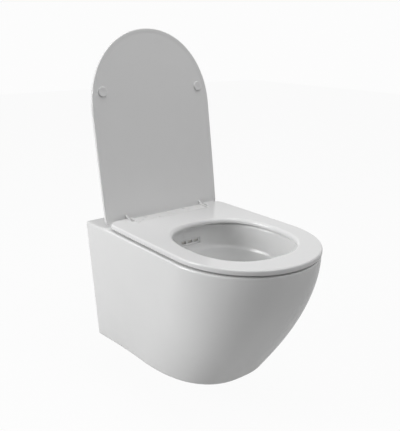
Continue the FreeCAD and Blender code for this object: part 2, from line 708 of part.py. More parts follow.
def round_corners(solid, radius):
    """Rounds the two upright edges at the rear of a plate."""
    return solid.makeFillet(radius, [edge for edge in solid.Edges if upright(edge)])


def x_prism(outline, x_low, x_high):
    """A prism along X from points given ahead of the hinge axis and above it."""
    points = [at(x_low, size.axis_depth + ahead, AXIS_Z + above) for ahead, above in outline]
    face = Part.Face(Part.makePolygon(points + points[:1]))
    return face.extrude(FreeCAD.Vector(x_high - x_low, 0, 0))


def x_rod(radius, x_low, x_high):
    """A cylinder round the hinge axis."""
    return rod(radius, at(x_low, size.axis_depth, AXIS_Z), X_AXIS, x_high - x_low)


def span(side, near, far):
    """Low and high x of a stretch between two distances from the middle, on one side."""
    return sorted((side * near, side * far))


def make_seat_ring():
    ring = slab(seat_outline(0.0, size.seat_rear, SEAT_LOW), size.seat_thickness)
    ring = round_corners(ring, size.seat_corner)
    ring = ring.makeFillet(size.seat_rounding, [edge for edge in ring.Edges if level(edge, SEAT_TOP)])
    opening = oval_wire(size.hole_centre_depth, size.hole_length / 2, size.hole_width / 2,
                        size.hole_power, SEAT_LOW - EXTRA)
    ring = ring.cut(slab(opening, size.seat_thickness + 2 * EXTRA))
    inner = [edge for edge in ring.Edges
             if level(edge, SEAT_TOP) and edge.BoundBox.YLength < size.hole_length + EXTRA
             and edge.BoundBox.YMax < -size.seat_rear - size.seat_corner]
    ring = ring.makeFillet(size.hole_rounding, inner)
    z_low = SEAT_LOW - EXTRA
    z_high = SEAT_TOP + EXTRA
    rear = size.seat_rear - EXTRA
    gap = size.notch_gap
    tools = [block(-LUG_END - size.side_gap, LUG_END + size.side_gap, rear,
                   size.axis_depth + size.lug_notch, z_low, z_high)]
    tools.append(block(-size.bar_half_width - gap, size.bar_half_width + gap, rear,
                       size.bar_front + gap, z_low, z_high))
    tools.append(block(-size.relief_half, size.relief_half, size.axis_depth + size.relief_start,
                       size.axis_depth + size.relief_end, z_low, SEAT_LOW + size.relief_depth))
    for side_name, side in SIDES:
        x_low, x_high = span(side, size.bar_half_width - gap, size.bar_half_width + size.rib_width + gap)
        tools.append(block(x_low, x_high, rear, size.rib_front + gap, z_low, z_high))
    ring = ring.cut(tools)
    for side_name, side in SIDES:
        x_low, x_high = span(side, LUG_END + size.side_gap, LUG_END + size.side_gap + size.boss_length)
        ring = ring.fuse(x_rod(size.boss_radius, x_low, x_high))
    for side_name, side in SIDES:
        free = size.running_gap if side_name == "left" else 0.0
        x_low, x_high = span(side, LUG_END, size.pin_reach + size.side_gap)
        ring = ring.cut(x_rod(size.pin_radius + free, x_low, x_high))
    return ring.removeSplitter().Solids[0]


def make_lid():
    rear = size.axis_depth - size.lid_tail
    top = LID_LOW + size.lid_thickness
    lid = slab(seat_outline(size.lid_overhang, rear, LID_LOW), size.lid_thickness)
    lid = round_corners(lid, size.lid_corner)
    lid = lid.makeFillet(size.lid_rounding, [edge for edge in lid.Edges if level(edge, top)])
    border = size.lid_lip_width
    recess = slab(seat_outline(size.lid_overhang - border, rear + border, LID_LOW - EXTRA),
                  size.lid_lip_height + EXTRA)
    lid = lid.cut(round_corners(recess, size.lid_corner / 2))
    root = size.seat_thickness + size.lid_gap + size.lid_thickness / 2 - size.axis_height
    web = [(-size.lug_radius * 0.866, size.lug_radius * 0.5), (-size.lid_tail + 3.0, root),
           (size.lug_length, root), (size.lug_radius * 0.866, -size.lug_radius * 0.5)]
    for side_name, side in SIDES:
        x_low, x_high = span(side, LUG_START, LUG_END)
        free = size.running_gap if side_name == "right" else 0.0
        lug = x_rod(size.lug_radius, x_low, x_high).fuse(x_prism(web, x_low, x_high))
        lid = lid.fuse(lug).cut(x_rod(size.pin_radius + free, x_low - EXTRA, x_high + EXTRA))
    return lid.removeSplitter().Solids[0]


def make_hinge_bar():
    """The moulded bar between the lugs: barrel, ribs, damper bores, post sockets and latch guides."""
    low = RIM + size.bar_lift
    top = AXIS_Z + size.barrel_radius
    half = size.bar_half_width
    bar = block(-half, half, size.axis_depth, size.bar_front, low, top)
    front_edge = [edge for edge in bar.Edges
                  if abs(edge.BoundBox.YMax + size.bar_front) < 0.01 and level(edge, top)]
    bar = bar.makeFillet(size.rib_drop * 2, front_edge)
    bar = bar.fuse(x_rod(size.barrel_radius, -half, half))
    rib_top = size.rib_radius
    reach = size.rib_front - size.axis_depth
    floor = size.bar_lift - size.axis_height
    for side_name, side in SIDES:
        x_low, x_high = span(side, half, half + size.rib_width)
        rib = x_prism([(0, rib_top), (reach, rib_top - size.rib_drop), (reach, floor), (0, floor)],
                      x_low, x_high)
        rib = rib.makeFillet(size.rib_drop * 1.5, [edge for edge in rib.Edges
                                                   if abs(edge.BoundBox.ZMax - AXIS_Z - rib_top
                                                          + size.rib_drop) < 0.01
                                                   and edge.BoundBox.XLength > 1])
        disc = x_rod(size.rib_radius, x_low, x_high)
        disc = disc.cut(block(x_low - EXTRA, x_high + EXTRA, 0, size.rib_front, RIM - 20, low))
        bar = bar.fuse(rib.fuse(disc))
    ceiling = top - size.bar_top_wall
    inner_front = size.bar_front - size.cavity_front_wall
    bar = bar.cut(block(-size.cavity_half, size.cavity_half, size.cavity_rear, inner_front,
                        low - EXTRA, ceiling))
    flange_top = RIM + size.washer_thickness + size.flange_thickness
    plate_top = low + size.plate_thickness
    latch_low = RIM + size.neck_low
    tools = []
    for side_name, side in SIDES:
        centre = side * size.post_spacing / 2
        bar = bar.fuse(rod(size.post_boss_radius, at(centre, size.post_depth, flange_top), Z_AXIS,
                           ceiling - flange_top + EXTRA))
        x_low, x_high = span(side, size.guide_start, size.guide_end)
        bar = bar.fuse(block(x_low, x_high, size.cavity_rear - EXTRA, inner_front + EXTRA,
                             plate_top, ceiling + EXTRA))
        tools.append(rod(size.post_radius + size.post_play, at(centre, size.post_depth, flange_top - EXTRA),
                         Z_AXIS, RIM + size.post_height + size.latch_gap - flange_top + EXTRA))
        x_low, x_high = span(side, size.guide_start - EXTRA, size.post_spacing / 2)
        wide = size.latch_width / 2 + size.latch_gap
        tools.append(block(x_low, x_high, size.post_depth - wide, size.post_depth + wide,
                           latch_low, latch_low + size.latch_thickness + 2 * size.latch_gap))
        bore_start = half + size.rib_width - size.damper_length
        x_low, x_high = span(side, bore_start, half + size.rib_width + EXTRA)
        tools.append(x_rod(size.damper_radius, x_low, x_high))
    tools.append(block(-size.button_length / 2 - size.button_gap, size.button_length / 2 + size.button_gap,
                       size.button_depth - size.button_width / 2 - size.button_gap,
                       size.button_depth + size.button_width / 2 + size.button_gap,
                       ceiling - EXTRA, top + EXTRA))
    return bar.cut(tools).removeSplitter().Solids[0]


# ---------------------------------------------------------------- small pieces

def turned(name, profile, placement):
    """A piece turned round its own Z axis, from bound points (radius, height)."""
    body = new_body(name, placement)
    sketch = new_sketch(body, name + "_profile", "XZ_Plane")
    polygon(sketch, profile)
    revolve(body, sketch, name + "_turned")
    return body


def upright_at(x, depth, z, turn=0.0):
    return FreeCAD.Placement(at(x, depth, z), FreeCAD.Rotation(Z_AXIS, turn))


def forward_at(x, depth, z):
    """Local Z points away from the wall and local Y points up."""
    return FreeCAD.Placement(at(x, depth, z), FreeCAD.Rotation(X_AXIS, 90))


def sideways_at(side, reach):
    """Local Z points outwards along the hinge axis, from a distance to the middle."""
    return FreeCAD.Placement(at(side * reach, size.axis_depth, AXIS_Z), FreeCAD.Rotation(Y_AXIS, side * 90))


def add_seat_buffer(name, place):
    body = new_body(name, place)
    sketch = new_sketch(body, name + "_outline", "XY_Plane")
    rectangle(sketch, "-buffer_length / 2", "-buffer_width / 2", "buffer_length / 2", "buffer_width / 2")
    pad(body, sketch, "seat_gap - buffer_clearance", name + "_pad")
    dress(body, "Fillet", "buffer_width * 0.45", name + "_ends", upright)
    dress(body, "Fillet", "buffer_width * 0.1", name + "_foot", lambda edge: level(edge, 0.0))


def add_lid_buffer(name, side):
    low = SEAT_TOP + size.buffer_clearance
    place = upright_at(side * size.lid_buffer_half, size.lid_buffer_depth, low)
    body = new_body(name, LID_TURN.multiply(place))
    sketch = new_sketch(body, name + "_outline", "XY_Plane")
    circle(sketch, "0", "0", "lid_buffer_radius")
    pad(body, sketch, "lid_gap - buffer_clearance + lid_lip_height", name + "_pad")
    dress(body, "Fillet", "lid_buffer_radius * 0.12", name + "_foot", lambda edge: level(edge, 0.0))


def add_damper(owner, side):
    """A damper housing in the bar and the shaft that turns in it."""
    start = size.bar_half_width + size.rib_width - size.damper_length
    inside = "(damper_radius - damper_wall)"
    turned(owner + "_damper_housing",
           [("0", "0"), ("damper_radius", "0"), ("damper_radius", "damper_length"),
            ("pin_radius + running_gap", "damper_length"),
            ("pin_radius + running_gap", "damper_length - damper_wall"),
            (inside, "damper_length - damper_wall"), (inside, "damper_wall"), ("0", "damper_wall")],
           sideways_at(side, start))
    rotor = inside + " - running_gap"
    rotor_end = "rotor_start + rotor_length"
    pin_end = "pin_reach - bar_half_width - rib_width + damper_length"
    turned(owner + "_damper_shaft",
           [("0", "rotor_start"), (rotor, "rotor_start"), (rotor, rotor_end), ("pin_radius", rotor_end),
            ("pin_radius", pin_end), ("0", pin_end)],
           sideways_at(side, start))


def add_post(side_name, side):
    """What holds the bar on the ceramic: post, rubber washer, expansion sleeve and cone nut."""
    place = upright_at(side * size.post_spacing / 2, size.post_depth, RIM)
    flange = "washer_thickness + flange_thickness"
    neck_top = "neck_low + neck_height"
    turned("hinge_post_" + side_name,
           [("0", "-stud_length"), ("stud_radius", "-stud_length"), ("stud_radius", "washer_thickness"),
            ("flange_radius", "washer_thickness"), ("flange_radius", flange), ("post_radius", flange),
            ("post_radius", "neck_low"), ("neck_radius", "neck_low"), ("neck_radius", neck_top),
            ("post_radius", neck_top), ("post_radius", "post_height - neck_height / 3"),
            ("post_radius - neck_height / 3", "post_height"), ("0", "post_height")], place)
    turned("hinge_washer_" + side_name,
           [("stud_radius", "0"), ("flange_radius", "0"), ("flange_radius", "washer_thickness"),
            ("stud_radius", "washer_thickness")], place)
    seat = "cone_tip_radius + (cone_radius - cone_tip_radius) * (sleeve_end - cone_start) / cone_taper"
    turned("expansion_sleeve_" + side_name,
           [("stud_radius", "-cone_start"), ("cone_tip_radius", "-cone_start"), (seat, "-sleeve_end"),
            ("sleeve_bulge_radius - sleeve_start", "-sleeve_end"),
            ("sleeve_bulge_radius", "sleeve_taper - sleeve_end"), ("sleeve_bulge_radius", "-deck_wall"),
            ("post_hole_radius", "-deck_wall"), ("post_hole_radius", "-sleeve_start"),
            ("stud_radius", "-sleeve_start")], place)
    turned("cone_nut_" + side_name,
           [("stud_radius", "-cone_start"), ("cone_tip_radius", "-cone_start"),
            ("cone_radius", "-cone_start - cone_taper"), ("cone_radius", "-cone_start - cone_length"),
            ("stud_radius", "-cone_start - cone_length")], place)


def slanted(z_low, z_high, wide):
    """A leg or its window as a parallelogram that leans 45 degrees: points (x, z)."""
    middle = "neck_low + latch_gap + latch_thickness / 2"
    points = []
    for sign, z in (("-", z_low), ("+", z_low), ("+", z_high), ("-", z_high)):
        points.append(("leg_place + (%s) - (%s) %s (%s)" % (middle, z, sign, wide), z))
    return points


def mirrored(points):
    return [("-(%s)" % x, z) for x, z in points]


def add_release():
    """The button, its return spring and the two latches that hold the posts."""
    place = upright_at(0, size.button_depth, RIM)
    top = "(axis_height + barrel_radius)"
    body = new_body("release_button", place)
    sketch = new_sketch(body, "release_button_outline", "XY_Plane", top + " - button_height")
    rectangle(sketch, "-button_length / 2", "-button_width / 2", "button_length / 2", "button_width / 2")
    pad(body, sketch, "button_height", "release_button_block")
    dress(body, "Fillet", "button_width * 0.15", "release_button_corners", upright)
    lip = top + " - bar_top_wall - button_gap - button_lip_height"
    sketch = new_sketch(body, "release_button_lip_outline", "XY_Plane", lip)
    reach = "(button_gap + button_lip)"
    rectangle(sketch, "-button_length / 2 - " + reach, "-button_width / 2 - " + reach,
              "button_length / 2 + " + reach, "button_width / 2 + " + reach)
    pad(body, sketch, "button_lip_height", "release_button_lip")
    low = top + " - button_height"
    for side_name, _ in SIDES:
        outline = slanted(low + " - leg_drop", low + " + button_lip", "leg_thickness / 2")
        sketch = new_sketch(body, "release_button_leg_" + side_name, "XZ_Plane")
        polygon(sketch, mirrored(outline) if side_name == "left" else outline)
        pad(body, sketch, "leg_width", "release_button_leg_pad_" + side_name, midplane=True)

    for side_name, side in SIDES:
        name = "release_latch_" + side_name
        body = new_body(name, upright_at(0, size.post_depth, RIM, 0 if side > 0 else 180))
        bottom = "neck_low + latch_gap"
        sketch = new_sketch(body, name + "_outline", "XY_Plane", bottom)
        rectangle(sketch, "latch_inner", "-latch_width / 2", "latch_outer", "latch_width / 2")
        pad(body, sketch, "latch_thickness", name + "_pad")
        sketch = new_sketch(body, name + "_window_outline", "XZ_Plane")
        polygon(sketch, slanted(bottom + " - latch_gap", bottom + " + latch_thickness + latch_gap",
                                "leg_thickness / 2 + window_gap"))
        pocket(body, sketch, "leg_width + 2 * window_gap", name + "_window", midplane=True)


def make_button_spring():
    """Return spring between the closing plate and the button."""
    wire = size.spring_wire
    low = RIM + size.bar_lift + size.plate_thickness + wire
    high = RIM + size.axis_height + size.barrel_radius - size.button_height - wire
    pitch = (high - low) / size.spring_turns
    helix = Part.makeHelix(pitch, high - low, size.spring_radius)
    first = helix.Edges[0]
    along = first.tangentAt(first.FirstParameter)
    around = Part.makeCircle(wire, FreeCAD.Vector(size.spring_radius, 0, 0), along)
    flats = int(size.spring_flats)
    corners = [around.valueAt(2 * math.pi * (i + 0.5) / flats) for i in range(flats)]
    profile = Part.makePolygon(corners + corners[:1])
    spring = Part.Wire(helix.Edges).makePipeShell([profile], True, True)
    if spring.Volume < 0:
        spring.reverse()
    spring.translate(at(0, size.button_depth, low))
    return spring


def add_bar_plate():
    """Closing plate under the hinge bar."""
    body = new_body("hinge_bar_plate", upright_at(0, 0, RIM + size.bar_lift))
    sketch = new_sketch(body, "hinge_bar_plate_outline", "XY_Plane")
    rectangle(sketch, "-cavity_half", "cavity_front_wall - bar_front", "cavity_half", "-cavity_rear")
    pad(body, sketch, "plate_thickness", "hinge_bar_plate_pad")
    sketch = new_sketch(body, "hinge_bar_plate_holes", "XY_Plane")
    for sign in ("-", ""):
        circle(sketch, sign + "post_spacing / 2", "-post_depth", "flange_radius + latch_gap")
    pocket(body, sketch, "plate_thickness", "hinge_bar_plate_openings", reverse=True)


def add_wall_fixing(side_name, side):
    """Bracket on the wall stud, its washer and nut, and the screw and insert that hold the pan on it."""
    x = side * size.wall_stud_spacing / 2
    name = "wall_bracket_" + side_name
    body = new_body(name, upright_at(x, 0, 0))
    sketch = new_sketch(body, name + "_section", "YZ_Plane")
    polygon(sketch, [("0", "-bracket_drop"), ("0", "bracket_rise"), ("-tongue_length", "bracket_rise"),
                     ("-tongue_length", "bracket_rise - bracket_steel"),
                     ("-bracket_steel", "bracket_rise - bracket_steel"),
                     ("-bracket_steel", "-bracket_drop")])
    pad(body, sketch, "bracket_width", name + "_pad", midplane=True)
    corner_y = -size.bracket_steel
    corner_z = size.bracket_rise - size.bracket_steel
    dress(body, "Fillet", "bracket_bend", name + "_bend",
          lambda edge: level(edge, corner_z) and abs(edge.BoundBox.YMin - corner_y) < 0.01)
    dress(body, "Fillet", "bracket_corner", name + "_corners",
          lambda edge: (upright(edge) and edge.BoundBox.YMax < 0.01 - size.tongue_length)
          or (level(edge, -size.bracket_drop) and edge.BoundBox.XLength < 0.01))
    sketch = new_sketch(body, name + "_stud_hole", "XZ_Plane")
    circle(sketch, "0", "0", "bracket_hole_radius")
    pocket(body, sketch, "bracket_steel + spigot_setback", name + "_stud_opening", midplane=True)
    sketch = new_sketch(body, name + "_screw_hole", "XY_Plane", "bracket_rise")
    circle(sketch, "0", "-clamp_depth", "clamp_radius + clamp_play")
    pocket(body, sketch, "bracket_steel", name + "_screw_opening")

    turned("wall_washer_" + side_name,
           [("bracket_hole_radius", "0"), ("nut_washer_radius", "0"), ("nut_washer_radius", "nut_washer"),
            ("bracket_hole_radius", "nut_washer")], forward_at(x, size.bracket_steel, 0))

    name = "wall_nut_" + side_name
    body = new_body(name, forward_at(x, size.bracket_steel + size.nut_washer, 0))
    sketch = new_sketch(body, name + "_outline", "XY_Plane")
    polygon(sketch, hexagon("nut_flats"))
    circle(sketch, "0", "0", "bracket_hole_radius")
    pad(body, sketch, "nut_height", name + "_pad")

    name = "clamp_screw_" + side_name
    low = "bracket_rise - bracket_steel - clamp_head"
    body = turned(name, [("0", low), ("clamp_head_radius", low),
                         ("clamp_head_radius", "bracket_rise - bracket_steel"),
                         ("clamp_radius", "bracket_rise - bracket_steel"),
                         ("clamp_radius", "clamp_end"), ("0", "clamp_end")],
                  upright_at(x, size.clamp_depth, 0))
    sketch = new_sketch(body, name + "_key", "XY_Plane", low)
    polygon(sketch, hexagon("clamp_key"))
    pocket(body, sketch, "clamp_head * 0.6", name + "_socket", reverse=True)

    turned("clamp_insert_" + side_name,
           [("clamp_radius", "bracket_rise"), ("insert_radius", "bracket_rise"),
            ("insert_radius", "bracket_rise + insert_length"),
            ("clamp_radius", "bracket_rise + insert_length")],
           upright_at(x, size.clamp_depth, 0))


def hexagon(flats):
    """Corners of a hexagon from the distance across its flats."""
    far = flats + " * 0.57735027"
    near = flats + " * 0.28867513"
    high = flats + " / 2"
    return [(far, "0"), (near, high), ("-" + near, high), ("-" + far, "0"),
            ("-" + near, "-" + high), (near, "-" + high)]


def add_inlet_seal():
    """Rubber sleeve for the flush pipe, with grooves round its outside."""
    profile = [("flush_pipe_radius", "0"), ("seal_lip_radius", "0"), ("seal_lip_radius", "seal_lip"),
               ("inlet_bore", "seal_lip")]
    for place in ("seal_length * 0.32", "seal_length * 0.57", "seal_length * 0.82"):
        for reach, end in (("", ""), (" - seal_groove", ""), (" - seal_groove", " + seal_groove_width"),
                           ("", " + seal_groove_width")):
            profile.append(("inlet_bore" + reach, place + end))
    profile.append(("inlet_bore", "seal_length"))
    profile.append(("flush_pipe_radius", "seal_length"))
    turned("inlet_seal", profile, forward_at(0, 0, size.inlet_rise))


def add_flush_diffuser():
    """Insert at the rear of the bowl that sends the flush forwards and to both sides."""
    rear = size.diffuser_front - size.diffuser_length
    body = new_body("flush_diffuser", forward_at(0, rear, size.duct_rise))
    sketch = new_sketch(body, "flush_diffuser_outline", "XY_Plane")
    rectangle(sketch, "-diffuser_width / 2", "-diffuser_height / 2",
              "diffuser_width / 2", "diffuser_height / 2")
    pad(body, sketch, "diffuser_length", "flush_diffuser_block")
    sketch = new_sketch(body, "flush_diffuser_chamber_outline", "XY_Plane")
    rectangle(sketch, "diffuser_wall - diffuser_width / 2", "diffuser_wall - diffuser_height / 2",
              "diffuser_width / 2 - diffuser_wall", "diffuser_height / 2 - diffuser_wall")
    pocket(body, sketch, "diffuser_length - diffuser_wall", "flush_diffuser_chamber", reverse=True)
    mouths = {"left": "-mouth_spacing", "middle": "0 * mouth_spacing", "right": "mouth_spacing"}
    for label, middle in mouths.items():
        sketch = new_sketch(body, "flush_diffuser_mouth_" + label, "XY_Plane", "diffuser_length")
        rectangle(sketch, middle + " - slot_width / 2", "-slot_height / 2",
                  middle + " + slot_width / 2", "slot_height / 2")
        pocket(body, sketch, "diffuser_wall + running_gap", "flush_diffuser_opening_" + label)


# ---------------------------------------------------------------- the assembly

for name, shape in pan_nodes(make_pan()).items():
    feature(name, shape.Solids[0] if len(shape.Solids) == 1 else shape)
feature("seat_ring", make_seat_ring())
feature("lid", make_lid(), LID_TURN)
feature("hinge_bar", make_hinge_bar())
feature("button_spring", make_button_spring())
add_bar_plate()
add_release()
add_inlet_seal()
add_flush_diffuser()
for side_name, side in SIDES:
    foot = RIM + size.buffer_clearance
    add_seat_buffer("seat_buffer_front_" + side_name,
                    upright_at(side * size.front_buffer_half, size.front_buffer_depth, foot,
                               side * size.front_buffer_turn))
    add_seat_buffer("seat_buffer_rear_" + side_name,
                    upright_at(side * size.rear_buffer_half, size.rear_buffer_depth, foot,
                               side * size.rear_buffer_turn))
    add_lid_buffer("lid_buffer_" + side_name, side)
    add_damper("lid" if side_name == "left" else "seat", side)
    add_post(side_name, side)
    add_wall_fixing(side_name, side)
doc.recompute()

faults = [item.Name + " " + " ".join(item.State) for item in doc.Objects
          if "Invalid" in item.State or "Error" in item.State]
for piece in finished:
    shape = piece.Shape
    if shape.isNull() or not shape.isValid() or len(shape.Solids) != 1:
        faults.append(piece.Label)
if faults:
    raise RuntimeError("faulty: " + ", ".join(faults))

os.makedirs("parts", exist_ok=True)
for piece in finished:
    piece.Shape.exportStep("parts/" + piece.Label + ".step")
    print(piece.Label, round(piece.Shape.Volume / 1000, 2), "cm3")
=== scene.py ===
import math

import bmesh
import bpy
import numpy as np
from mathutils import Matrix, Vector


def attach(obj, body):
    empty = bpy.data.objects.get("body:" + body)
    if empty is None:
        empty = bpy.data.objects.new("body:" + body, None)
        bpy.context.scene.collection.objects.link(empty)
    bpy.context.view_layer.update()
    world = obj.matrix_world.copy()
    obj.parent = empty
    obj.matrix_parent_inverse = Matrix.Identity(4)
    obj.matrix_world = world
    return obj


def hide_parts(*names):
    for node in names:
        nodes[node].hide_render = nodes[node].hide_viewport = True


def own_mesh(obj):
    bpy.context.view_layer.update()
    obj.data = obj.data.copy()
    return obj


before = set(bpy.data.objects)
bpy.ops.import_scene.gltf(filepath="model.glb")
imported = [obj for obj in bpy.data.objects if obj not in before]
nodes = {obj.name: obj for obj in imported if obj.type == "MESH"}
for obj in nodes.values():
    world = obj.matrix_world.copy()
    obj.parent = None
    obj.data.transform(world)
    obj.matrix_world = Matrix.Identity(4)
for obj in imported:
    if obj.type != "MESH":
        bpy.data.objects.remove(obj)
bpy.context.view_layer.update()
print("frame loaded,", len(nodes), "solids")

# Lengths are in millimetres until placeMesh turns them into metres.
# "Depth" is the distance from the wall towards the front, so y = -depth.
millimetre = 0.001
rimHeight = 80.0  # top of the ceramic
hinge = {
    "axisDepth": 93.5,
    "axisHeight": 8.0,  # above the ceramic
    "openAngle": 98.7,  # degrees, counted from the closed lid
    "buttonTravel": 2.0,
}


def halfOutline(rear, front, rearHalf, half, widest, sidePower, power, count=500):
    # side: x = half - (half - rearHalf)(1 - t)^sidePower; front: a quarter superellipse
    t = np.linspace(0, 1, count, endpoint=False)
    turn = np.linspace(0, math.pi / 2, count)
    sideX = half - (half - rearHalf) * (1 - t) ** sidePower
    sideDepth = rear + (widest - rear) * t
    frontX = half * np.maximum(np.cos(turn), 0) ** (2 / power)
    frontDepth = widest + (front - widest) * np.maximum(np.sin(turn), 0) ** (2 / power)
    frontX[-1] = 0.0
    return np.stack([np.r_[sideX, frontX], np.r_[sideDepth, frontDepth]], 1)


def superOval(turn, centre, length, width, power):
    # |x / width|^power + |depth / length|^power = 1, one point in each direction from its middle
    reach = (np.abs(np.sin(turn) / width) ** power + np.abs(np.cos(turn) / length) ** power) ** (-1 / power)
    return np.stack([reach * np.sin(turn), centre + reach * np.cos(turn)], 1)


def evenlySpaced(points, count):
    # the same polyline with points at equal steps of its own length
    step = np.linalg.norm(np.diff(points, axis=0), axis=1)
    along = np.r_[0, np.cumsum(step)]
    wanted = np.linspace(0, along[-1], count)
    return np.stack([np.interp(wanted, along, column) for column in points.T], 1)


def denser(points, spacing):
    # a polyline with points added on its long runs
    out = [points[:1]]
    for a, b in zip(points[:-1], points[1:]):
        n = max(int(np.linalg.norm(b - a) / spacing), 1)
        out.append(a + (b - a) * (np.arange(1, n + 1) / n)[:, None])
    return np.concatenate(out)


def smoothCurve(x, knots, values):
    # cubic through the knots, its slopes taken from the neighbouring knots
    knots, values = np.asarray(knots, float), np.asarray(values, float)
    slope = np.gradient(values, knots)
    i = np.clip(np.searchsorted(knots, x) - 1, 0, len(knots) - 2)
    wide = knots[i + 1] - knots[i]
    t = np.clip((x - knots[i]) / wide, 0, 1)
    return ((2 * t**3 - 3 * t**2 + 1) * values[i] + (t**3 - 2 * t**2 + t) * wide * slope[i]
            + (3 * t**2 - 2 * t**3) * values[i + 1] + (t**3 - t**2) * wide * slope[i + 1])


def insetLoop(loop, distance):
    # every point of a closed outline moved inwards along the mitre of its two edges
    tiny = 1e-12
    before = loop - np.roll(loop, 1, 0)
    after = np.roll(loop, -1, 0) - loop
    before /= np.linalg.norm(before, axis=1, keepdims=True) + tiny
    after /= np.linalg.norm(after, axis=1, keepdims=True) + tiny
    area = np.sum(loop[:, 0] * np.roll(loop[:, 1], -1) - loop[:, 1] * np.roll(loop[:, 0], -1))
    side = 1.0 if area > 0 else -1.0
    normalA = np.stack([-before[:, 1], before[:, 0]], 1)
    normalB = np.stack([-after[:, 1], after[:, 0]], 1)
    mitre = (normalA + normalB) / (1 + np.sum(normalA * normalB, 1, keepdims=True))
    return loop + side * mitre * np.reshape(distance, (-1, 1))


def roundedPath(points, radii, count):
    # an open polyline whose corners become arcs of the given radii
    out = [points[0]]
    for i in range(1, len(points) - 1):
        corner = np.asarray(points[i], float)
        toA = np.asarray(points[i - 1], float) - corner
        toB = np.asarray(points[i + 1], float) - corner
        toA /= np.linalg.norm(toA)
        toB /= np.linalg.norm(toB)
        half = math.acos(np.clip(toA @ toB, -1, 1)) / 2
        reach = radii[i] / math.tan(half)
        middle = corner + (toA + toB) / np.linalg.norm(toA + toB) * radii[i] / math.sin(half)
        a = corner + toA * reach - middle
        b = corner + toB * reach - middle
        sweep = math.acos(np.clip(a @ b / radii[i] ** 2, -1, 1))
        for t in np.linspace(0, 1, count):
            turned = math.sin((1 - t) * sweep) * a + math.sin(t * sweep) * b
            out.append(middle + turned / math.sin(sweep))
    out.append(points[-1])
    return np.array(out)


def quarterRound(radius, count):
    # an edge's rounding from the flat to the side, as (inset from the side, drop from the flat)
    return [(radius * (1 - math.sin(a)), radius * (1 - math.cos(a)))
            for a in np.linspace(0, math.pi / 2, count)]


def atHeight(loop, height):
    # (x, depth) points and heights to x, y, z
    return np.stack([loop[:, 0], -loop[:, 1], np.broadcast_to(height, loop.shape[:1])], 1)


def inPlan(row):
    # x, y, z back to (x, depth)
    return row[:, :2] * (1, -1)


def strip(rows, closed=True):
    # quads between neighbouring rows of a grid
    rows = np.asarray(rows)
    r, c = rows.shape[:2]
    index = np.arange(r * c).reshape(r, c)
    if closed:
        index = np.c_[index, index[:, :1]]
    quads = np.stack([index[:-1, :-1], index[:-1, 1:], index[1:, 1:], index[1:, :-1]], -1)
    return rows.reshape(-1, 3), quads.reshape(-1, 4).tolist()


def capped(rows):
    # a closed grid with one face over each end row
    points, quads = strip(rows)
    c = np.asarray(rows).shape[1]
    return points, quads + [list(range(c)), list(range(len(points) - c, len(points)))]


def lathe(profile, place, count):
    # a profile (along, radius) carried round an axis; place takes the local points to x, y, z
    turn = np.linspace(0, 2 * math.pi, count, endpoint=False)
    profile = np.asarray(profile, float)
    rows = np.stack([profile[:, 1:] * np.cos(turn), profile[:, 1:] * np.sin(turn),
                     np.broadcast_to(profile[:, :1], (len(profile), count))], -1)
    return place(rows)


def roundedBlock(low, high, radius, count=5):
    # a box from (x, depth, z) to (x, depth, z), rounded in plan and on its upper and lower edges
    planRounding = 1.5 * radius
    x0, d0, z0 = low
    x1, d1, z1 = high
    start = ((x0 + x1) / 2, d0)
    path = roundedPath([start, (x1, d0), (x1, d1), (x0, d1), (x0, d0), start],
                       [0, *[planRounding] * 4, 0], count)[:-1]
    edge = quarterRound(radius, count)
    rows = [atHeight(insetLoop(path, inset), z0 + rise) for inset, rise in edge]
    rows += [atHeight(insetLoop(path, inset), z1 - drop) for inset, drop in edge[::-1]]
    return capped(rows)


def edgeRows(loop, radius, level, sign, count, flat=0.0, side=1):
    # rows of a rounded edge from the flat to the side; sign 1 is an upper edge, -1 a lower one,
    # side 1 an outer edge, -1 the edge of a hole; flat adds a narrow level row first
    rows = []
    if flat:
        rows.append(atHeight(insetLoop(loop, side * (radius + flat)), level))
    for inset, drop in quarterRound(radius, count):
        rows.append(atHeight(insetLoop(loop, side * inset), level - sign * drop))
    return rows


def placeMesh(name, patches, materials, fills=(), angle=35.0):
    # patches are (points, faces, material number); fills are (closed loops, material number)
    weld, sliver = 0.002 * millimetre, 1e-7
    points, faces, numbers, base = [], [], [], 0
    for patchPoints, patchFaces, number in patches:
        points.append(patchPoints)
        faces += [[v + base for v in face] for face in patchFaces]
        numbers += [number] * len(patchFaces)
        base += len(patchPoints)
    mesh = bpy.data.meshes.new(name)
    mesh.from_pydata((np.concatenate(points) * millimetre).tolist(), [], faces)
    mesh.polygons.foreach_set("material_index", numbers)
    work = bmesh.new()
    work.from_mesh(mesh)
    for loops, number in fills:
        edges = []
        for loop in loops:
            ring = [work.verts.new(p * millimetre) for p in loop]
            edges += [work.edges.new((a, b)) for a, b in zip(ring, ring[1:] + ring[:1])]
        made = bmesh.ops.triangle_fill(work, use_beauty=True, use_dissolve=False, edges=edges)
        for item in made["geom"]:
            if isinstance(item, bmesh.types.BMFace):
                item.material_index = number
    bmesh.ops.remove_doubles(work, verts=work.verts, dist=weld)
    bmesh.ops.dissolve_degenerate(work, edges=work.edges, dist=sliver)
    bmesh.ops.recalc_face_normals(work, faces=work.faces)
    openEdges = sum(1 for e in work.edges if not e.is_manifold)
    work.to_mesh(mesh)
    work.free()
    mesh.shade_smooth()
    mesh.set_sharp_from_angle(angle=math.radians(angle))
    for material in materials:
        mesh.materials.append(material)
    piece = bpy.data.objects.new(name, mesh)
    bpy.context.scene.collection.objects.link(piece)
    triangles = sum(len(p.vertices) - 2 for p in mesh.polygons)
    print("made", name, triangles, "triangles,", openEdges, "open edges")
    return piece


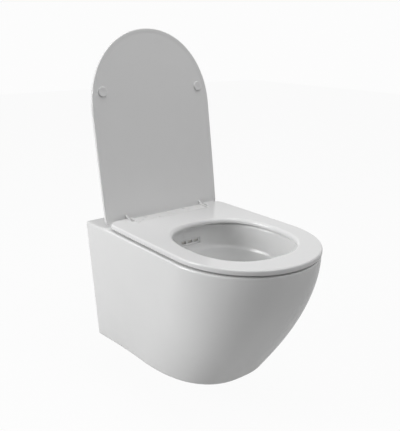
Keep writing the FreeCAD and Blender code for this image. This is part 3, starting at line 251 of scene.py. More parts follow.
def newMaterial(name, color, roughness, **extra):
    # a plain material; extra names further inputs of its shader
    material = bpy.data.materials.new(name)
    material.use_nodes = True
    shader = material.node_tree.nodes["Principled BSDF"]
    shader.inputs["Base Color"].default_value = (*color, 1)
    shader.inputs["Roughness"].default_value = roughness
    for key, value in extra.items():
        shader.inputs[key].default_value = value
    return material, material.node_tree, shader


def noiseOn(tree, scale, detail, stretch=(1, 1, 1)):
    # a noise in the object's own coordinates
    place = tree.nodes.new("ShaderNodeTexCoord")
    mapping = tree.nodes.new("ShaderNodeMapping")
    noise = tree.nodes.new("ShaderNodeTexNoise")
    mapping.inputs["Scale"].default_value = stretch
    noise.inputs["Scale"].default_value = scale
    noise.inputs["Detail"].default_value = detail
    tree.links.new(place.outputs["Object"], mapping.inputs["Vector"])
    tree.links.new(mapping.outputs["Vector"], noise.inputs["Vector"])
    return noise


def varied(tree, shader, noise, low, high):
    # the roughness follows the noise, most of which lies between 0.3 and 0.7
    spread = tree.nodes.new("ShaderNodeMapRange")
    spread.inputs["From Min"].default_value = 0.3
    spread.inputs["From Max"].default_value = 0.7
    spread.inputs["To Min"].default_value = low
    spread.inputs["To Max"].default_value = high
    tree.links.new(noise.outputs["Fac"], spread.inputs["Value"])
    tree.links.new(spread.outputs["Result"], shader.inputs["Roughness"])


def tinted(tree, shader, noise, dark, light):
    # the base colour between two close tones; a colour mix has its two colours at inputs 6 and 7
    mix = tree.nodes.new("ShaderNodeMix")
    mix.data_type = "RGBA"
    mix.inputs[6].default_value = (*dark, 1)
    mix.inputs[7].default_value = (*light, 1)
    tree.links.new(noise.outputs["Fac"], mix.inputs["Factor"])
    tree.links.new(mix.outputs[2], shader.inputs["Base Color"])


def bumped(tree, shader, noise, strength, distance):
    # the noise as fine hills and hollows
    bump = tree.nodes.new("ShaderNodeBump")
    bump.inputs["Strength"].default_value = strength
    bump.inputs["Distance"].default_value = distance
    tree.links.new(noise.outputs["Fac"], bump.inputs["Height"])
    tree.links.new(bump.outputs["Normal"], shader.inputs["Normal"])


# each noise is (scale, detail), each bump (strength, distance in metres)
glazeLook = {
    "dark": (0.795, 0.797, 0.795), "light": (0.83, 0.832, 0.83), "roughness": (0.07, 0.13), "ior": 1.5,
    "toneNoise": (9, 2), "roughnessNoise": (22, 3), "bumpNoise": (14, 2), "bump": (0.12, 0.004),
}
biscuitLook = {
    "dark": (0.66, 0.645, 0.61), "light": (0.75, 0.735, 0.7), "roughness": 0.75,
    "toneNoise": (30, 6), "bumpNoise": (500, 4), "bump": (0.25, 0.0006),
}
seatLook = {
    "dark": (0.79, 0.79, 0.79), "light": (0.815, 0.815, 0.815), "roughness": (0.1, 0.15), "ior": 1.5,
    "toneNoise": (12, 2), "roughnessNoise": (40, 3), "bumpNoise": (420, 2), "bump": (0.05, 0.0004),
}


def polishedFinish(name, look):
    # tone, roughness and bump each follow a noise of their own
    material, tree, shader = newMaterial(name, look["light"], sum(look["roughness"]) / 2,
                                         IOR=look["ior"])
    tinted(tree, shader, noiseOn(tree, *look["toneNoise"]), look["dark"], look["light"])
    varied(tree, shader, noiseOn(tree, *look["roughnessNoise"]), *look["roughness"])
    bumped(tree, shader, noiseOn(tree, *look["bumpNoise"]), *look["bump"])
    return material


def unglazedFinish(name, look):
    # the fired clay where no glaze lies on it
    material, tree, shader = newMaterial(name, look["light"], look["roughness"])
    tinted(tree, shader, noiseOn(tree, *look["toneNoise"]), look["dark"], look["light"])
    bumped(tree, shader, noiseOn(tree, *look["bumpNoise"]), *look["bump"])
    return material


def plainFinish(name, dark, light, roughness, scale, bump=0.0, stretch=(1, 1, 1), **extra):
    # one noise for tone, roughness and bump together
    detail, bumpDistance = 4, 0.0003
    material, tree, shader = newMaterial(name, light, sum(roughness) / 2, **extra)
    noise = noiseOn(tree, scale, detail, stretch)
    tinted(tree, shader, noise, dark, light)
    varied(tree, shader, noise, *roughness)
    if bump:
        bumped(tree, shader, noise, bump, bumpDistance)
    return material


glaze = polishedFinish("glazedCeramic", glazeLook)
biscuit = unglazedFinish("unglazedCeramic", biscuitLook)
ceramics = [glaze, biscuit]
glazed, bare = 0, 1  # places in that list
seatFinish = polishedFinish("polishedSeat", seatLook)
hingeFinish = plainFinish("satinHinge", (0.77, 0.77, 0.765), (0.8, 0.8, 0.795), (0.26, 0.34), 60)
innerFinish = plainFinish("mouldedPlastic", (0.66, 0.66, 0.64), (0.74, 0.74, 0.72), (0.45, 0.6), 220, 0.15)
paleRubber = plainFinish("paleRubber", (0.77, 0.77, 0.77), (0.81, 0.81, 0.81), (0.3, 0.42), 300, 0.1)
blackRubber = plainFinish("blackRubber", (0.012, 0.012, 0.012), (0.03, 0.03, 0.03), (0.5, 0.7), 350, 0.2)
turnedSteel = plainFinish("turnedSteel", (0.5, 0.5, 0.49), (0.62, 0.62, 0.61), (0.22, 0.38), 90, 0.1,
                          stretch=(1, 1, 12), Metallic=1.0)
zincPlate = plainFinish("zincPlate", (0.46, 0.47, 0.49), (0.66, 0.67, 0.69), (0.3, 0.5), 120, 0.12,
                        Metallic=1.0)
print("materials ready")

pan = {
    "rim": {"front": 560.0, "rearHalf": 185.0, "half": 180.5, "widest": 369.0, "power": 1.95},
    "foot": {"front": 396.0, "rearHalf": 162.0, "half": 150.0, "widest": 164.0, "power": 2.57},
    "sidePower": 1.5, "bodyHeight": 327.0, "bellyUpper": 1.65, "bellyLower": 1.06,
    "rimRounding": 4.0, "footRounding": 9.0, "skinWall": 10.0, "deckWall": 14.0,
    "columns": 220, "rearColumns": 32, "skirtRows": 68, "roundingRows": 6,
    "deckShares": (0.06, 0.35, 0.7, 0.94, 1.0),  # rows between the mouth and the deck's edge
}
bowl = {
    "centre": 354.0, "length": 159.0, "width": 132.0, "power": 2.3, "wall": 9.0, "mouthRounding": 7.0,
    "ledgeDrop": 66.0, "ledge": 4.0, "floorDrop": 200.0, "curve": 1.6, "throatDepth": 272.0, "throat": 32.0,
    "wallDrops": (0, 8, 20, 36, 48, 56, 60, 63, 67, 80),
    "wallShifts": (0, 1.2, 2.4, 3, 2.4, 1, -0.5, -2.6, -4, -4),
    "wallRows": 28, "floorRows": 26, "ledgeStep": 1.0, "backWallRows": 8, "backFloorRows": 18,
}
trap = {
    "bend": 45.0, "dip": -172.0, "crest": -68.0, "outlet": -100.0, "spigotLength": 60.0, "setback": 2.0,
    "steps": 34, "arcSteps": 60,
    # radii against the distance from the outlet's end: chamfer, spigot, bore, slow flare to the throat
    "boreAt": (0, 0.8, 45, 60, 280, 5000), "boreRadii": (43, 42, 42, 27, 27, 31),
    "pipeAt": (0, 2, 36, 60), "pipeRadii": (49.5, 51, 51, 36),
    "breaks": (0.0, 0.8, 2.0, 36.0, 45.0, 60.0),
}
handHole = {
    "middle": 92.0, "length": 48.0, "width": 100.0, "power": 9.0, "chamfer": 1.0,
    "share": 0.05,  # of the way to the sole's edge, where a row keeps the hole's edge tight
}
footLevel = rimHeight - pan["bodyHeight"]
ledgeDrop = bowl["ledgeDrop"]
floorFall = bowl["floorDrop"] - ledgeDrop


def panCurve(height, inset=0.0):
    # the skirt's outline at a height: rim and foot outlines mixed by the belly's fall
    share = min(max((rimHeight - height) / pan["bodyHeight"], 0.0), 1.0)
    fall = 1 - (1 - share ** pan["bellyUpper"]) ** pan["bellyLower"]

    def mixed(key, t):
        return pan["rim"][key] + (pan["foot"][key] - pan["rim"][key]) * t

    right = halfOutline(0.0, mixed("front", fall) - inset, mixed("rearHalf", share) - inset,
                        mixed("half", fall) - inset, mixed("widest", fall), pan["sidePower"],
                        mixed("power", share))
    left = right[:-1] * (-1, 1)
    return evenlySpaced(np.r_[left, right[::-1]], pan["columns"])


def withRear(curve):
    # closes a skirt outline along the wall
    n = pan["rearColumns"]
    t = (np.arange(1, n + 1) / (n + 1))[:, None]
    return np.r_[curve, curve[-1:] + (curve[:1] - curve[-1:]) * t]


def bowlLoop(turn, drop, grow=0.0):
    # the bowl's outline at a drop below the rim: channel and ledge above, then in to the throat
    if drop <= ledgeDrop:
        shift = float(smoothCurve(drop, bowl["wallDrops"], bowl["wallShifts"])) + grow
        return superOval(turn, bowl["centre"], bowl["length"] + shift, bowl["width"] + shift, bowl["power"])
    share = min((drop - ledgeDrop) / floorFall, 1.0)
    spread = max(1 - share ** bowl["curve"], 0.0) ** (1 / bowl["curve"])
    length, width = (bowl["throat"] + (full - bowl["ledge"] - bowl["throat"]) * spread + grow
                     for full in (bowl["length"], bowl["width"]))
    middle = bowl["throatDepth"] + (bowl["centre"] - bowl["throatDepth"]) * spread
    return superOval(turn, middle, length, width, 2 + (bowl["power"] - 2) * spread)


def arcPoints(centre, radius, start, end):
    # an arc from one angle to the other, as (depth, height)
    turn = np.linspace(start, end, trap["arcSteps"])
    return np.stack([centre[0] + radius * np.cos(turn), centre[1] + radius * np.sin(turn)], 1)


def trapPath():
    # middle line of the waterway as (depth, height): throat, dip, riser, crest, fall, spigot
    bend = trap["bend"]
    riser = bowl["throatDepth"] - 2 * bend
    end = trap["setback"] + trap["spigotLength"]
    run = riser - bend - end
    turn = 2 * math.atan((trap["crest"] - trap["outlet"]) / run)
    radius = run / 2 / math.sin(turn)  # of the two equal arcs that make the fall
    upright = math.pi / 2
    return np.concatenate([
        [(bowl["throatDepth"], rimHeight - bowl["floorDrop"])],
        arcPoints((riser + bend, trap["dip"] + bend), bend, 0, -math.pi),
        arcPoints((riser - bend, trap["crest"] - bend), bend, 0, upright),
        arcPoints((riser - bend, trap["crest"] - radius), radius, upright, upright + turn),
        arcPoints((end, trap["outlet"] + radius), radius, turn - upright, -upright),
        [(trap["setback"], trap["outlet"])],
    ])


def trapLoops(turn, distances, radii):
    # circles round the path; their forward direction starts as depth and turns with the path
    path = trapPath()
    step = np.linalg.norm(np.diff(path, axis=0), axis=1)
    along = np.r_[0, np.cumsum(step)]
    total = along[-1]

    def onPath(places):
        places = np.clip(places, 0, total)
        return np.stack([np.interp(places, along, path[:, k]) for k in (0, 1)], 1)

    places = np.r_[np.linspace(0, total, trap["steps"]), total - np.array(trap["breaks"])]
    places = np.unique(np.round(places, 4))  # two places that agree to 0.1 micrometre are one
    centre = onPath(places)
    tangent = onPath(places + 1) - onPath(places - 1)
    tangent /= np.linalg.norm(tangent, axis=1, keepdims=True)
    forward = np.stack([-tangent[:, 1], tangent[:, 0]], 1)
    radius = np.interp(total - places, distances, radii)[:, None]
    depth = centre[:, :1] + radius * np.cos(turn) * forward[:, :1]
    height = centre[:, 1:] + radius * np.cos(turn) * forward[:, 1:]
    return np.stack([radius * np.sin(turn), -depth, height], -1)


def bowlAndDeckRows(turn, deckEdge):
    # from the throat up the bowl, over its rounded mouth and across the deck
    mouth = bowl["mouthRounding"]
    floor = ledgeDrop + floorFall * np.sin(np.linspace(math.pi / 2, 0, bowl["floorRows"]))
    drops = np.r_[floor, np.linspace(ledgeDrop - bowl["ledgeStep"], mouth, bowl["wallRows"])]
    rows = [atHeight(bowlLoop(turn, drop), rimHeight - drop) for drop in drops]
    for inset, drop in quarterRound(mouth, pan["roundingRows"])[-2::-1]:
        rows.append(atHeight(bowlLoop(turn, drop, inset), rimHeight - drop))
    lip = inPlan(rows[-1])
    return rows + [atHeight(lip + (deckEdge - lip) * t, rimHeight) for t in pan["deckShares"]]


def skirtRows():
    # the outside: round the rim, down the skirt and round the foot
    rim, foot, steps = pan["rimRounding"], pan["footRounding"], pan["roundingRows"]
    levels = [(rimHeight - drop, inset) for inset, drop in quarterRound(rim, steps)]
    levels += [(z, 0.0) for z in np.linspace(rimHeight - rim, footLevel + foot, pan["skirtRows"])[1:]]
    levels += [(footLevel + rise, inset) for rise, inset in quarterRound(foot, steps)[1:]]
    return np.array([atHeight(panCurve(z, inset), z) for z, inset in levels])


def soleRows(sole, floorEdge):
    # the underside from its outer edge, up through the hand hole, to the hollow's floor
    turn = np.arctan2(sole[:, 0], sole[:, 1] - handHole["middle"])
    hole = superOval(turn, *(handHole[key] for key in ("middle", "length", "width", "power")))
    floorLevel = footLevel + pan["skinWall"]
    return [atHeight(sole, footLevel),
            atHeight(hole + (sole - hole) * handHole["share"], footLevel),
            atHeight(hole, footLevel + handHole["chamfer"]),
            atHeight(hole, floorLevel - handHole["chamfer"]),
            atHeight(hole + (floorEdge - hole) * handHole["share"], floorLevel),
            atHeight(floorEdge, floorLevel)]


def bowlBackRows(turn):
    # the bowl's outer face inside the hollow, from the deck's underside to the throat
    drops = np.r_[np.linspace(pan["deckWall"], ledgeDrop, bowl["backWallRows"]),
                  ledgeDrop + floorFall * np.sin(np.linspace(0, math.pi / 2, bowl["backFloorRows"])[1:])]
    return [atHeight(bowlLoop(turn, drop, bowl["wall"]), rimHeight - drop) for drop in drops]


def wallRims(outer, inner, deckRow, ceiling, sole, floorRow):
    # the skin's rear rim in the plane of the wall: both sides, then top and bottom
    rear = slice(pan["columns"] - 1, None)
    rims = [strip(np.stack([outer[:, column], inner[::-1, column]]), False) for column in (0, -1)]
    for pair in ((deckRow, ceiling), (sole, floorRow)):
        rims.append(strip(np.stack([np.r_[loop[rear], loop[:1]] for loop in pair]), False))
    return rims


def panShell():
    # one closed skin: waterway, bowl, deck, skirt, foot, hollow, outside of bowl and waterway
    deckEdge = withRear(panCurve(rimHeight, pan["rimRounding"]))
    turn = np.arctan2(deckEdge[:, 0], deckEdge[:, 1] - bowl["centre"])
    waterway = trapLoops(turn, trap["boreAt"], trap["boreRadii"])[::-1]
    top = np.concatenate([waterway, bowlAndDeckRows(turn, deckEdge)])
    outer = skirtRows()
    levels = np.linspace(footLevel + pan["skinWall"], rimHeight - pan["deckWall"], len(outer))
    inner = np.array([atHeight(panCurve(z, pan["skinWall"]), z) for z in levels])
    bottom = soleRows(withRear(inPlan(outer[-1])), withRear(inPlan(inner[0])))
    ceiling = atHeight(withRear(inPlan(inner[-1])), levels[-1])
    pipe = trapLoops(turn, trap["pipeAt"], trap["pipeRadii"])
    hollow = np.concatenate([[ceiling], bowlBackRows(turn), pipe, waterway[:1]])

    patches = [(*strip(top), glazed), (*strip(outer, False), glazed), (*strip(bottom), bare),
               (*strip(inner, False), bare), (*strip(hollow), bare)]
    patches += [(*rim, bare) for rim in wallRims(outer, inner, top[-1], ceiling, bottom[0], bottom[-1])]
    return placeMesh("panShell", patches, ceramics, angle=40)


fittings = {
    # turned rings as (depth, radius), with the height of their axis
    "socket": ((0, 31.2), (3, 31.2), (3.4, 27.5), (40, 27.5), (41, 17), (48, 17), (48, 24), (46, 35),
               (44, 35.5), (0.5, 35.5), (0, 35)),
    "socketHeight": 35.0,
    "duct": ((44, 17), (171, 17), (171, 25), (44, 25)),
    "ductHeight": 40.0,
    "turnedColumns": 64,
    # blocks from (x, depth, z) to (x, depth, z), and their rounding
    "chest": ((-37.5, 148, 23.5), (37.5, 186, 70), 4),
    "shelves": (((-173, 12, 20), (-62, 68, 38), 3), ((62, 12, 20), (173, 68, 38), 3)),
    "window": ((-29.5, 176.0, 31.5), (29.5, 201.0, 48.5), 1.0),
    "windowSteps": 3,
}


def panInside():
    # inlet socket and flush duct as turned rings, the chest round the diffuser and the bracket shelves
    patches = []
    for name in ("socket", "duct"):
        height = fittings[name + "Height"]
        place = lambda p: np.stack([p[..., 0], -p[..., 2], height + p[..., 1]], -1)
        rows = lathe(fittings[name], place, fittings["turnedColumns"])
        patches.append((*strip(np.concatenate([rows, rows[:1]])), bare))
    for block in (fittings["chest"], *fittings["shelves"]):
        patches.append((*roundedBlock(*block), bare))
    return placeMesh("panInside", patches, ceramics)


def cutWindow(piece):
    # the opening in the bowl's wall that the flush diffuser stands in
    block = roundedBlock(*fittings["window"], fittings["windowSteps"])
    cutter = placeMesh("windowCutter", [(*block, glazed)], [glaze])
    boolean = piece.modifiers.new("diffuserWindow", "BOOLEAN")
    boolean.operation = "DIFFERENCE"
    boolean.solver = "EXACT"
    boolean.object = cutter
    bpy.context.view_layer.update()
    finished = piece.evaluated_get(bpy.context.evaluated_depsgraph_get())
    cut = bpy.data.meshes.new_from_object(finished)
    piece.modifiers.clear()
    piece.data = cut
    bpy.data.objects.remove(cutter)
    print("window cut,", len(cut.polygons), "faces")


shell = panShell()
cutWindow(shell)
for piece in (shell, panInside()):
    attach(piece, "mounted")
    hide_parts(*[name for name in nodes if name.startswith("pan")])
print("pan done")

seat = {
    "rearHalf": 173.0, "half": 175.0, "rear": 87.0, "front": 561.0, "widest": 369.0, "power": 2.05,
    "sidePower": 3.4, "corner": 24.0, "low": 4.5, "top": 16.0, "edgeRounding": 3.6, "footRounding": 1.5,
    "holeLength": 141.5, "holeWidth": 126.0, "holeCentre": 353.0, "holePower": 2.4,
    "holeRounding": 8.0, "holeFoot": 1.0, "flat": 1.0, "holeFlat": 1.5,
    # the notch for the hinge bar as (x, depth); it goes on straight to the rear edge
    "notch": ((0, 124.8), (105.2, 124.8), (105.2, 128.8), (112.8, 128.8), (112.8, 114.0), (118.8, 114.0)),
    "notchRadii": (0, 1, 1, 1, 1, 1, 0.8, 0), "notchEdge": 0.8, "notchFoot": 0.48,
    # the round bosses on the hinge axis as (distance from the middle, radius)
    "boss": ((118.8, 0.0), (118.8, 5.4), (119.4, 6.0), (135.6, 6.0), (136.8, 4.8), (136.8, 0.0)),
    # how fine the mesh is: counts of rows and points, and spacings along the outline
    "topRows": 9, "footRows": 5, "holeRows": 13, "holeFootRows": 4, "holeSteps": 260, "bossColumns": 40,
    "notchSteps": 5, "notchSpacing": 6.0, "cornerSteps": 12, "cornerSpacing": 4.0, "sideSteps": 150,
}
lid = {
    "rear": 92.1, "corner": 14.0, "low": 19.0, "top": 30.0, "edgeRounding": 5.5, "innerRounding": 1.2,
    "lip": 4.0, "lipHeight": 0.8, "lipSlope": 8.0, "lipRows": 6, "flat": 1.5,
    "topRows": 12, "footRows": 5, "rearSpacing": 8.0,
}
lug = {
    "start": 112.4, "end": 118.4, "radius": 6.0, "length": 18.0, "top": 13.0, "neck": 1.6,
    "eye": (150, 330), "eyeSteps": 15,  # degrees of the round part
    "edge": ((0.6, 0.0), (0.18, 0.18), (0.0, 0.6)),  # (inset, step along the pin)
}
lidBuffer = {
    "radius": 12.0, "half": 143.0, "depth": 414.0, "low": 16.3, "footRounding": 1.4,
    "footRows": 8, "columns": 48,
    # the dish as (height above the foot, share of the radius)
    "dish": ((0.7, 0.0), (0.6, 0.35), (0.15, 0.62)), "edge": 0.4,
}


def seatSide(rear, corner):
    # rear corner arc, then the side and the front up to the middle, as (x, depth)
    outline = halfOutline(rear, seat["front"], seat["rearHalf"], seat["half"], seat["widest"],
                          seat["sidePower"], seat["power"])
    start = np.searchsorted(outline[:, 1], rear + corner)
    cornerX = np.interp(rear + corner, outline[:, 1], outline[:, 0]) - corner
    a = np.linspace(0, math.pi / 2, seat["cornerSteps"])
    arc = np.stack([cornerX + corner * np.sin(a), rear + corner - corner * np.cos(a)], 1)
    side = np.r_[arc[-1:], outline[start + 1:]]
    return arc, evenlySpaced(side, seat["sideSteps"])[1:]


def mirrorLoop(right):
    # a closed outline from its right half, which starts and ends on the middle line
    return np.r_[right, (right[1:-1] * (-1, 1))[::-1]]


def aboutPin(side, along, ahead, above):
    # distances from the middle and from the hinge pin to x, y, z
    return np.stack([side * along, -hinge["axisDepth"] - ahead,
                     rimHeight + hinge["axisHeight"] + above], -1)


def makeSeat():
    # rows down the outside and down the hole, flat fills between them, and a boss on each side
    low, top = rimHeight + seat["low"], rimHeight + seat["top"]
    arc, side = seatSide(seat["rear"], seat["corner"])
    notch = [*seat["notch"], (seat["notch"][-1][0], seat["rear"]), arc[0]]
    notch = denser(roundedPath(notch, seat["notchRadii"], seat["notchSteps"]), seat["notchSpacing"])
    right = np.r_[notch, denser(arc, seat["cornerSpacing"])[1:], side]
    loop = mirrorLoop(right)
    # the notch keeps a small edge, the outside gets the full rounding
    full = np.r_[np.zeros(len(notch)), np.ones(len(right) - len(notch))]
    full = np.r_[full, full[1:-1][::-1]]
    topRadius = seat["notchEdge"] + (seat["edgeRounding"] - seat["notchEdge"]) * full
    lowRadius = seat["notchFoot"] + (seat["footRounding"] - seat["notchFoot"]) * full
    outside = edgeRows(loop, topRadius, top, 1, seat["topRows"], seat["flat"])
    outside += edgeRows(loop, lowRadius, low, -1, seat["footRows"], seat["flat"])[::-1]

    turn = np.linspace(0, 2 * math.pi, seat["holeSteps"], endpoint=False)
    hole = superOval(turn, *(seat["hole" + key] for key in ("Centre", "Length", "Width", "Power")))
    hole = evenlySpaced(np.r_[hole, hole[:1]], len(hole) + 1)[:-1]
    inner = edgeRows(hole, seat["holeRounding"], top, 1, seat["holeRows"], seat["holeFlat"], -1)
    inner += edgeRows(hole, seat["holeFoot"], low, -1, seat["holeFootRows"], seat["holeFlat"], -1)[::-1]

    patches = [(*strip(outside), 0), (*strip(inner), 0)]
    for sign in (-1, 1):
        place = lambda p: aboutPin(sign, p[..., 2], -p[..., 0], p[..., 1])
        patches.append((*strip(lathe(seat["boss"], place, seat["bossColumns"])), 0))
    fills = [([outside[0], inner[0]], 0), ([outside[-1], inner[-1]], 0)]
    return placeMesh("seatRing", patches, [seatFinish], fills, angle=32)


def openLid(points):
    # closed position to open: turned about the hinge axis
    a = math.radians(hinge["openAngle"])
    ahead = -points[..., 1] - hinge["axisDepth"]
    above = points[..., 2] - rimHeight - hinge["axisHeight"]
    return np.stack([points[..., 0],
                     -hinge["axisDepth"] - ahead * math.cos(a) + above * math.sin(a),
                     rimHeight + hinge["axisHeight"] + ahead * math.sin(a) + above * math.cos(a)], -1)


def lidLug(sign):
    # round eye at the pin and a web that widens into the lid, as a prism with soft edges
    a = np.radians(np.linspace(*lug["eye"], lug["eyeSteps"]))
    eye = lug["radius"] * np.stack([np.cos(a), np.sin(a)], 1)
    loop = np.r_[eye, [(lug["length"], lug["top"]), (lug["neck"], lug["top"])]]
    sections = [(inset, lug["start"] + step) for inset, step in lug["edge"]]
    sections += [(inset, lug["end"] - step) for inset, step in lug["edge"][::-1]]
    rows = []
    for inset, x in sections:
        p = insetLoop(loop, inset)
        rows.append(aboutPin(sign, np.full(len(p), x), p[:, 0], p[:, 1]))
    points, faces = capped(rows)
    return openLid(points), faces, 0


def makeLid():
    # an edge round the panel, then a lip and a shallow hollow on its underside
    low, top = rimHeight + lid["low"], rimHeight + lid["top"]
    arc, side = seatSide(lid["rear"], lid["corner"])
    rear = denser(np.array([(0.0, lid["rear"]), arc[0]]), lid["rearSpacing"])
    loop = mirrorLoop(np.r_[rear, arc[1:], side])
    rows = edgeRows(loop, lid["edgeRounding"], top, 1, lid["topRows"], lid["flat"])
    rows += edgeRows(loop, lid["innerRounding"], low, -1, lid["footRows"])[::-1]
    for t in np.linspace(0, 1, lid["lipRows"]):
        level = low + lid["lipHeight"] * t * t * (3 - 2 * t)
        rows.append(atHeight(insetLoop(loop, lid["lip"] + lid["lipSlope"] * t), level))
    innermost = lid["lip"] + lid["lipSlope"] + lid["flat"]
    rows.append(atHeight(insetLoop(loop, innermost), low + lid["lipHeight"]))
    rows = openLid(np.array(rows))
    patches = [(*strip(rows), 0), lidLug(-1), lidLug(1)]
    return placeMesh("lidPanel", patches, [seatFinish], [([rows[0]], 0), ([rows[-1]], 0)], angle=32)


def makeLidBuffer(name, sign):
    # low round pad with a rounded foot and a shallow dish in the middle
    r, low = lidBuffer["radius"], rimHeight + lidBuffer["low"]
    high = rimHeight + lid["low"] + lid["lipHeight"]
    dish = [(low + rise, r * share) for rise, share in lidBuffer["dish"]]
    foot = [(low + rise, r - inset)
            for rise, inset in quarterRound(lidBuffer["footRounding"], lidBuffer["footRows"])]
    profile = [*dish, *foot[::-1], (high - lidBuffer["edge"], r), (high, r), (high, 0.0)]
    place = lambda p: openLid(np.stack([sign * lidBuffer["half"] + p[..., 0], -lidBuffer["depth"] - p[..., 1],
                                        p[..., 2]], -1))
    rows = lathe(profile, place, lidBuffer["columns"])
    return placeMesh(name, [(*strip(rows), 0)], [paleRubber], angle=40)


seatPiece = makeSeat()
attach(seatPiece, "seat_assembly")
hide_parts("seat_ring")
lidPiece = makeLid()
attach(lidPiece, "lid_assembly")
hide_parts("lid")
for sideName, sign in (("left", -1), ("right", 1)):
    pad = makeLidBuffer("lidPad" + sideName.capitalize(), sign)
    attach(pad, "lid_assembly")
    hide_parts("lid_buffer_" + sideName)
print("seat and lid done")

# the solids that show as they are
finishOf = {
    "hinge_bar": hingeFinish, "release_button": hingeFinish, "hinge_bar_plate": innerFinish,
    "flush_diffuser": seatFinish, "inlet_seal": blackRubber, "button_spring": turnedSteel,
    "lid_damper_housing": innerFinish, "seat_damper_housing": innerFinish,
    "lid_damper_shaft": turnedSteel, "seat_damper_shaft": turnedSteel,
}
pairFinish = {
    "release_latch": turnedSteel, "seat_buffer_front": paleRubber, "seat_buffer_rear": paleRubber,
    "hinge_post": turnedSteel, "hinge_washer": paleRubber, "expansion_sleeve": blackRubber,
    "cone_nut": turnedSteel, "wall_bracket": zincPlate, "wall_washer": zincPlate, "wall_nut": zincPlate,
    "clamp_screw": zincPlate, "clamp_insert": innerFinish,
}
for part, finish in pairFinish.items():
    for sideName in ("left", "right"):
        finishOf[part + "_" + sideName] = finish
for name, finish in finishOf.items():
    for materialSlot in nodes[name].material_slots:
        materialSlot.material = finish
print("finishes on", len(finishOf), "solids")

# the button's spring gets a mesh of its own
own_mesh(nodes["button_spring"])

# metres and watts; a lamp is (name, place, size, power)
studio = {
    "floorLevel": -0.335, "floorSize": 14.0, "floorColor": (0.6, 0.6, 0.6), "floorRoughness": 0.9,
    "floorGlow": 0.95, "mirroredGlow": 0.28,
    "ambient": 0.1, "background": (0.975, 0.975, 0.975), "worldGlow": 1.0, "mirroredWorld": 1.0,
    "lamps": (
        ("wallSideLamp", (-2.53, 0.98, 1.06), 1.6, 58.0),
        ("topLamp", (0.0, -0.43, 3.05), 1.8, 32.0),
        ("frontTopLamp", (0.6, -1.95, 2.6), 1.8, 23.0),
        ("frontLamp", (1.82, -2.62, 0.52), 1.6, 0.3),
        ("rightLamp", (2.57, -1.82, 0.18), 1.6, 0.8),
    ),
    "target": (0.0, -0.28, 0.05),
}
view = {
    "place": (-0.8727, -1.3206, 0.5478), "azimuth": -38.654, "elevation": 17.114, "roll": 0.517,
    "lens": 50.55, "sensor": 36.0, "nearest": 0.01, "farthest": 50,
}


def seenShare(tree, seen, mirrored):
    # seen x camera ray + mirrored x (glossy or transmission ray), and 0 for other rays
    path = tree.nodes.new("ShaderNodeLightPath")
    either = tree.nodes.new("ShaderNodeMath")
    mirror = tree.nodes.new("ShaderNodeMath")
    total = tree.nodes.new("ShaderNodeMath")
    either.operation = "MAXIMUM"
    mirror.operation = "MULTIPLY"
    total.operation = "MULTIPLY_ADD"
    tree.links.new(path.outputs["Is Glossy Ray"], either.inputs[0])
    tree.links.new(path.outputs["Is Transmission Ray"], either.inputs[1])
    tree.links.new(either.outputs[0], mirror.inputs[0])
    mirror.inputs[1].default_value = mirrored
    tree.links.new(path.outputs["Is Camera Ray"], total.inputs[0])
    total.inputs[1].default_value = seen
    tree.links.new(mirror.outputs[0], total.inputs[2])
    return total.outputs[0]


def mixInto(tree, output, share, first, second):
    # the output shows the first shader, and the second by the given share
    mix = tree.nodes.new("ShaderNodeMixShader")
    tree.links.new(share, mix.inputs[0])
    tree.links.new(first.outputs[0], mix.inputs[1])
    tree.links.new(second.outputs[0], mix.inputs[2])
    tree.links.new(mix.outputs[0], tree.nodes[output].inputs["Surface"])


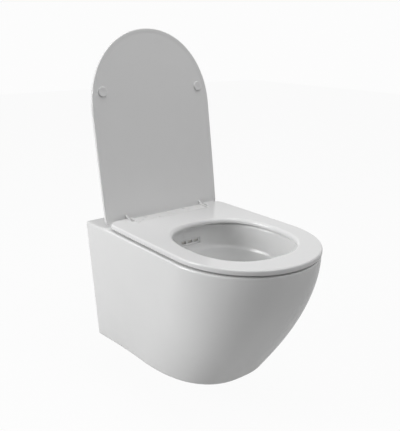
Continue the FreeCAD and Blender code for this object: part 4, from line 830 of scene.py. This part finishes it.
def makeFloor():
    # a pale square that glows for the camera and keeps the object's shadow
    material, tree, shader = newMaterial("paleFloor", studio["floorColor"], studio["floorRoughness"])
    glow = tree.nodes.new("ShaderNodeEmission")
    share = seenShare(tree, studio["floorGlow"], studio["mirroredGlow"])
    mixInto(tree, "Material Output", share, shader, glow)
    s, z = studio["floorSize"] / 2, studio["floorLevel"]
    mesh = bpy.data.meshes.new("floor")
    mesh.from_pydata([(-s, -s, z), (s, -s, z), (s, s, z), (-s, s, z)], [], [(0, 1, 2, 3)])
    mesh.materials.append(material)
    floor = bpy.data.objects.new("floor", mesh)
    bpy.context.scene.collection.objects.link(floor)


def makeWorld():
    # white behind the object, and a faint even light on it
    world = bpy.data.worlds.new("studioWorld")
    bpy.context.scene.world = world
    world.use_nodes = True
    tree = world.node_tree
    ambient = tree.nodes["Background"]
    ambient.inputs["Color"].default_value = (1, 1, 1, 1)
    ambient.inputs["Strength"].default_value = studio["ambient"]
    white = tree.nodes.new("ShaderNodeBackground")
    white.inputs["Color"].default_value = (*studio["background"], 1)
    share = seenShare(tree, studio["worldGlow"], studio["mirroredWorld"])
    mixInto(tree, "World Output", share, ambient, white)


def makeLamps():
    # round area lamps, all turned to one point of the object
    for name, place, size, power in studio["lamps"]:
        data = bpy.data.lights.new(name, "AREA")
        data.shape = "DISK"
        data.size = size
        data.energy = power
        lamp = bpy.data.objects.new(name, data)
        lamp.location = place
        lamp.rotation_euler = (Vector(studio["target"]) - Vector(place)).to_track_quat("-Z", "Y").to_euler()
        bpy.context.scene.collection.objects.link(lamp)


def makeCamera():
    # back points from the object to the camera; right and up turn about it by the roll
    a, e, r = (math.radians(view[key]) for key in ("azimuth", "elevation", "roll"))
    back = Vector((math.sin(a) * math.cos(e), -math.cos(a) * math.cos(e), math.sin(e)))
    right = Vector((math.cos(a), math.sin(a), 0))
    up = back.cross(right)
    right, up = right * math.cos(r) + up * math.sin(r), up * math.cos(r) - right * math.sin(r)
    data = bpy.data.cameras.new("photoCamera")
    data.sensor_width = view["sensor"]
    data.lens = view["lens"]
    data.clip_start = view["nearest"]
    data.clip_end = view["farthest"]
    camera = bpy.data.objects.new("photoCamera", data)
    bpy.context.scene.collection.objects.link(camera)
    turned = Matrix((right, up, back)).transposed().to_4x4()
    camera.matrix_world = Matrix.Translation(view["place"]) @ turned
    bpy.context.scene.camera = camera


makeFloor()
makeWorld()
makeLamps()
makeCamera()
bpy.context.scene.view_settings.view_transform = "Standard"
print("studio ready")
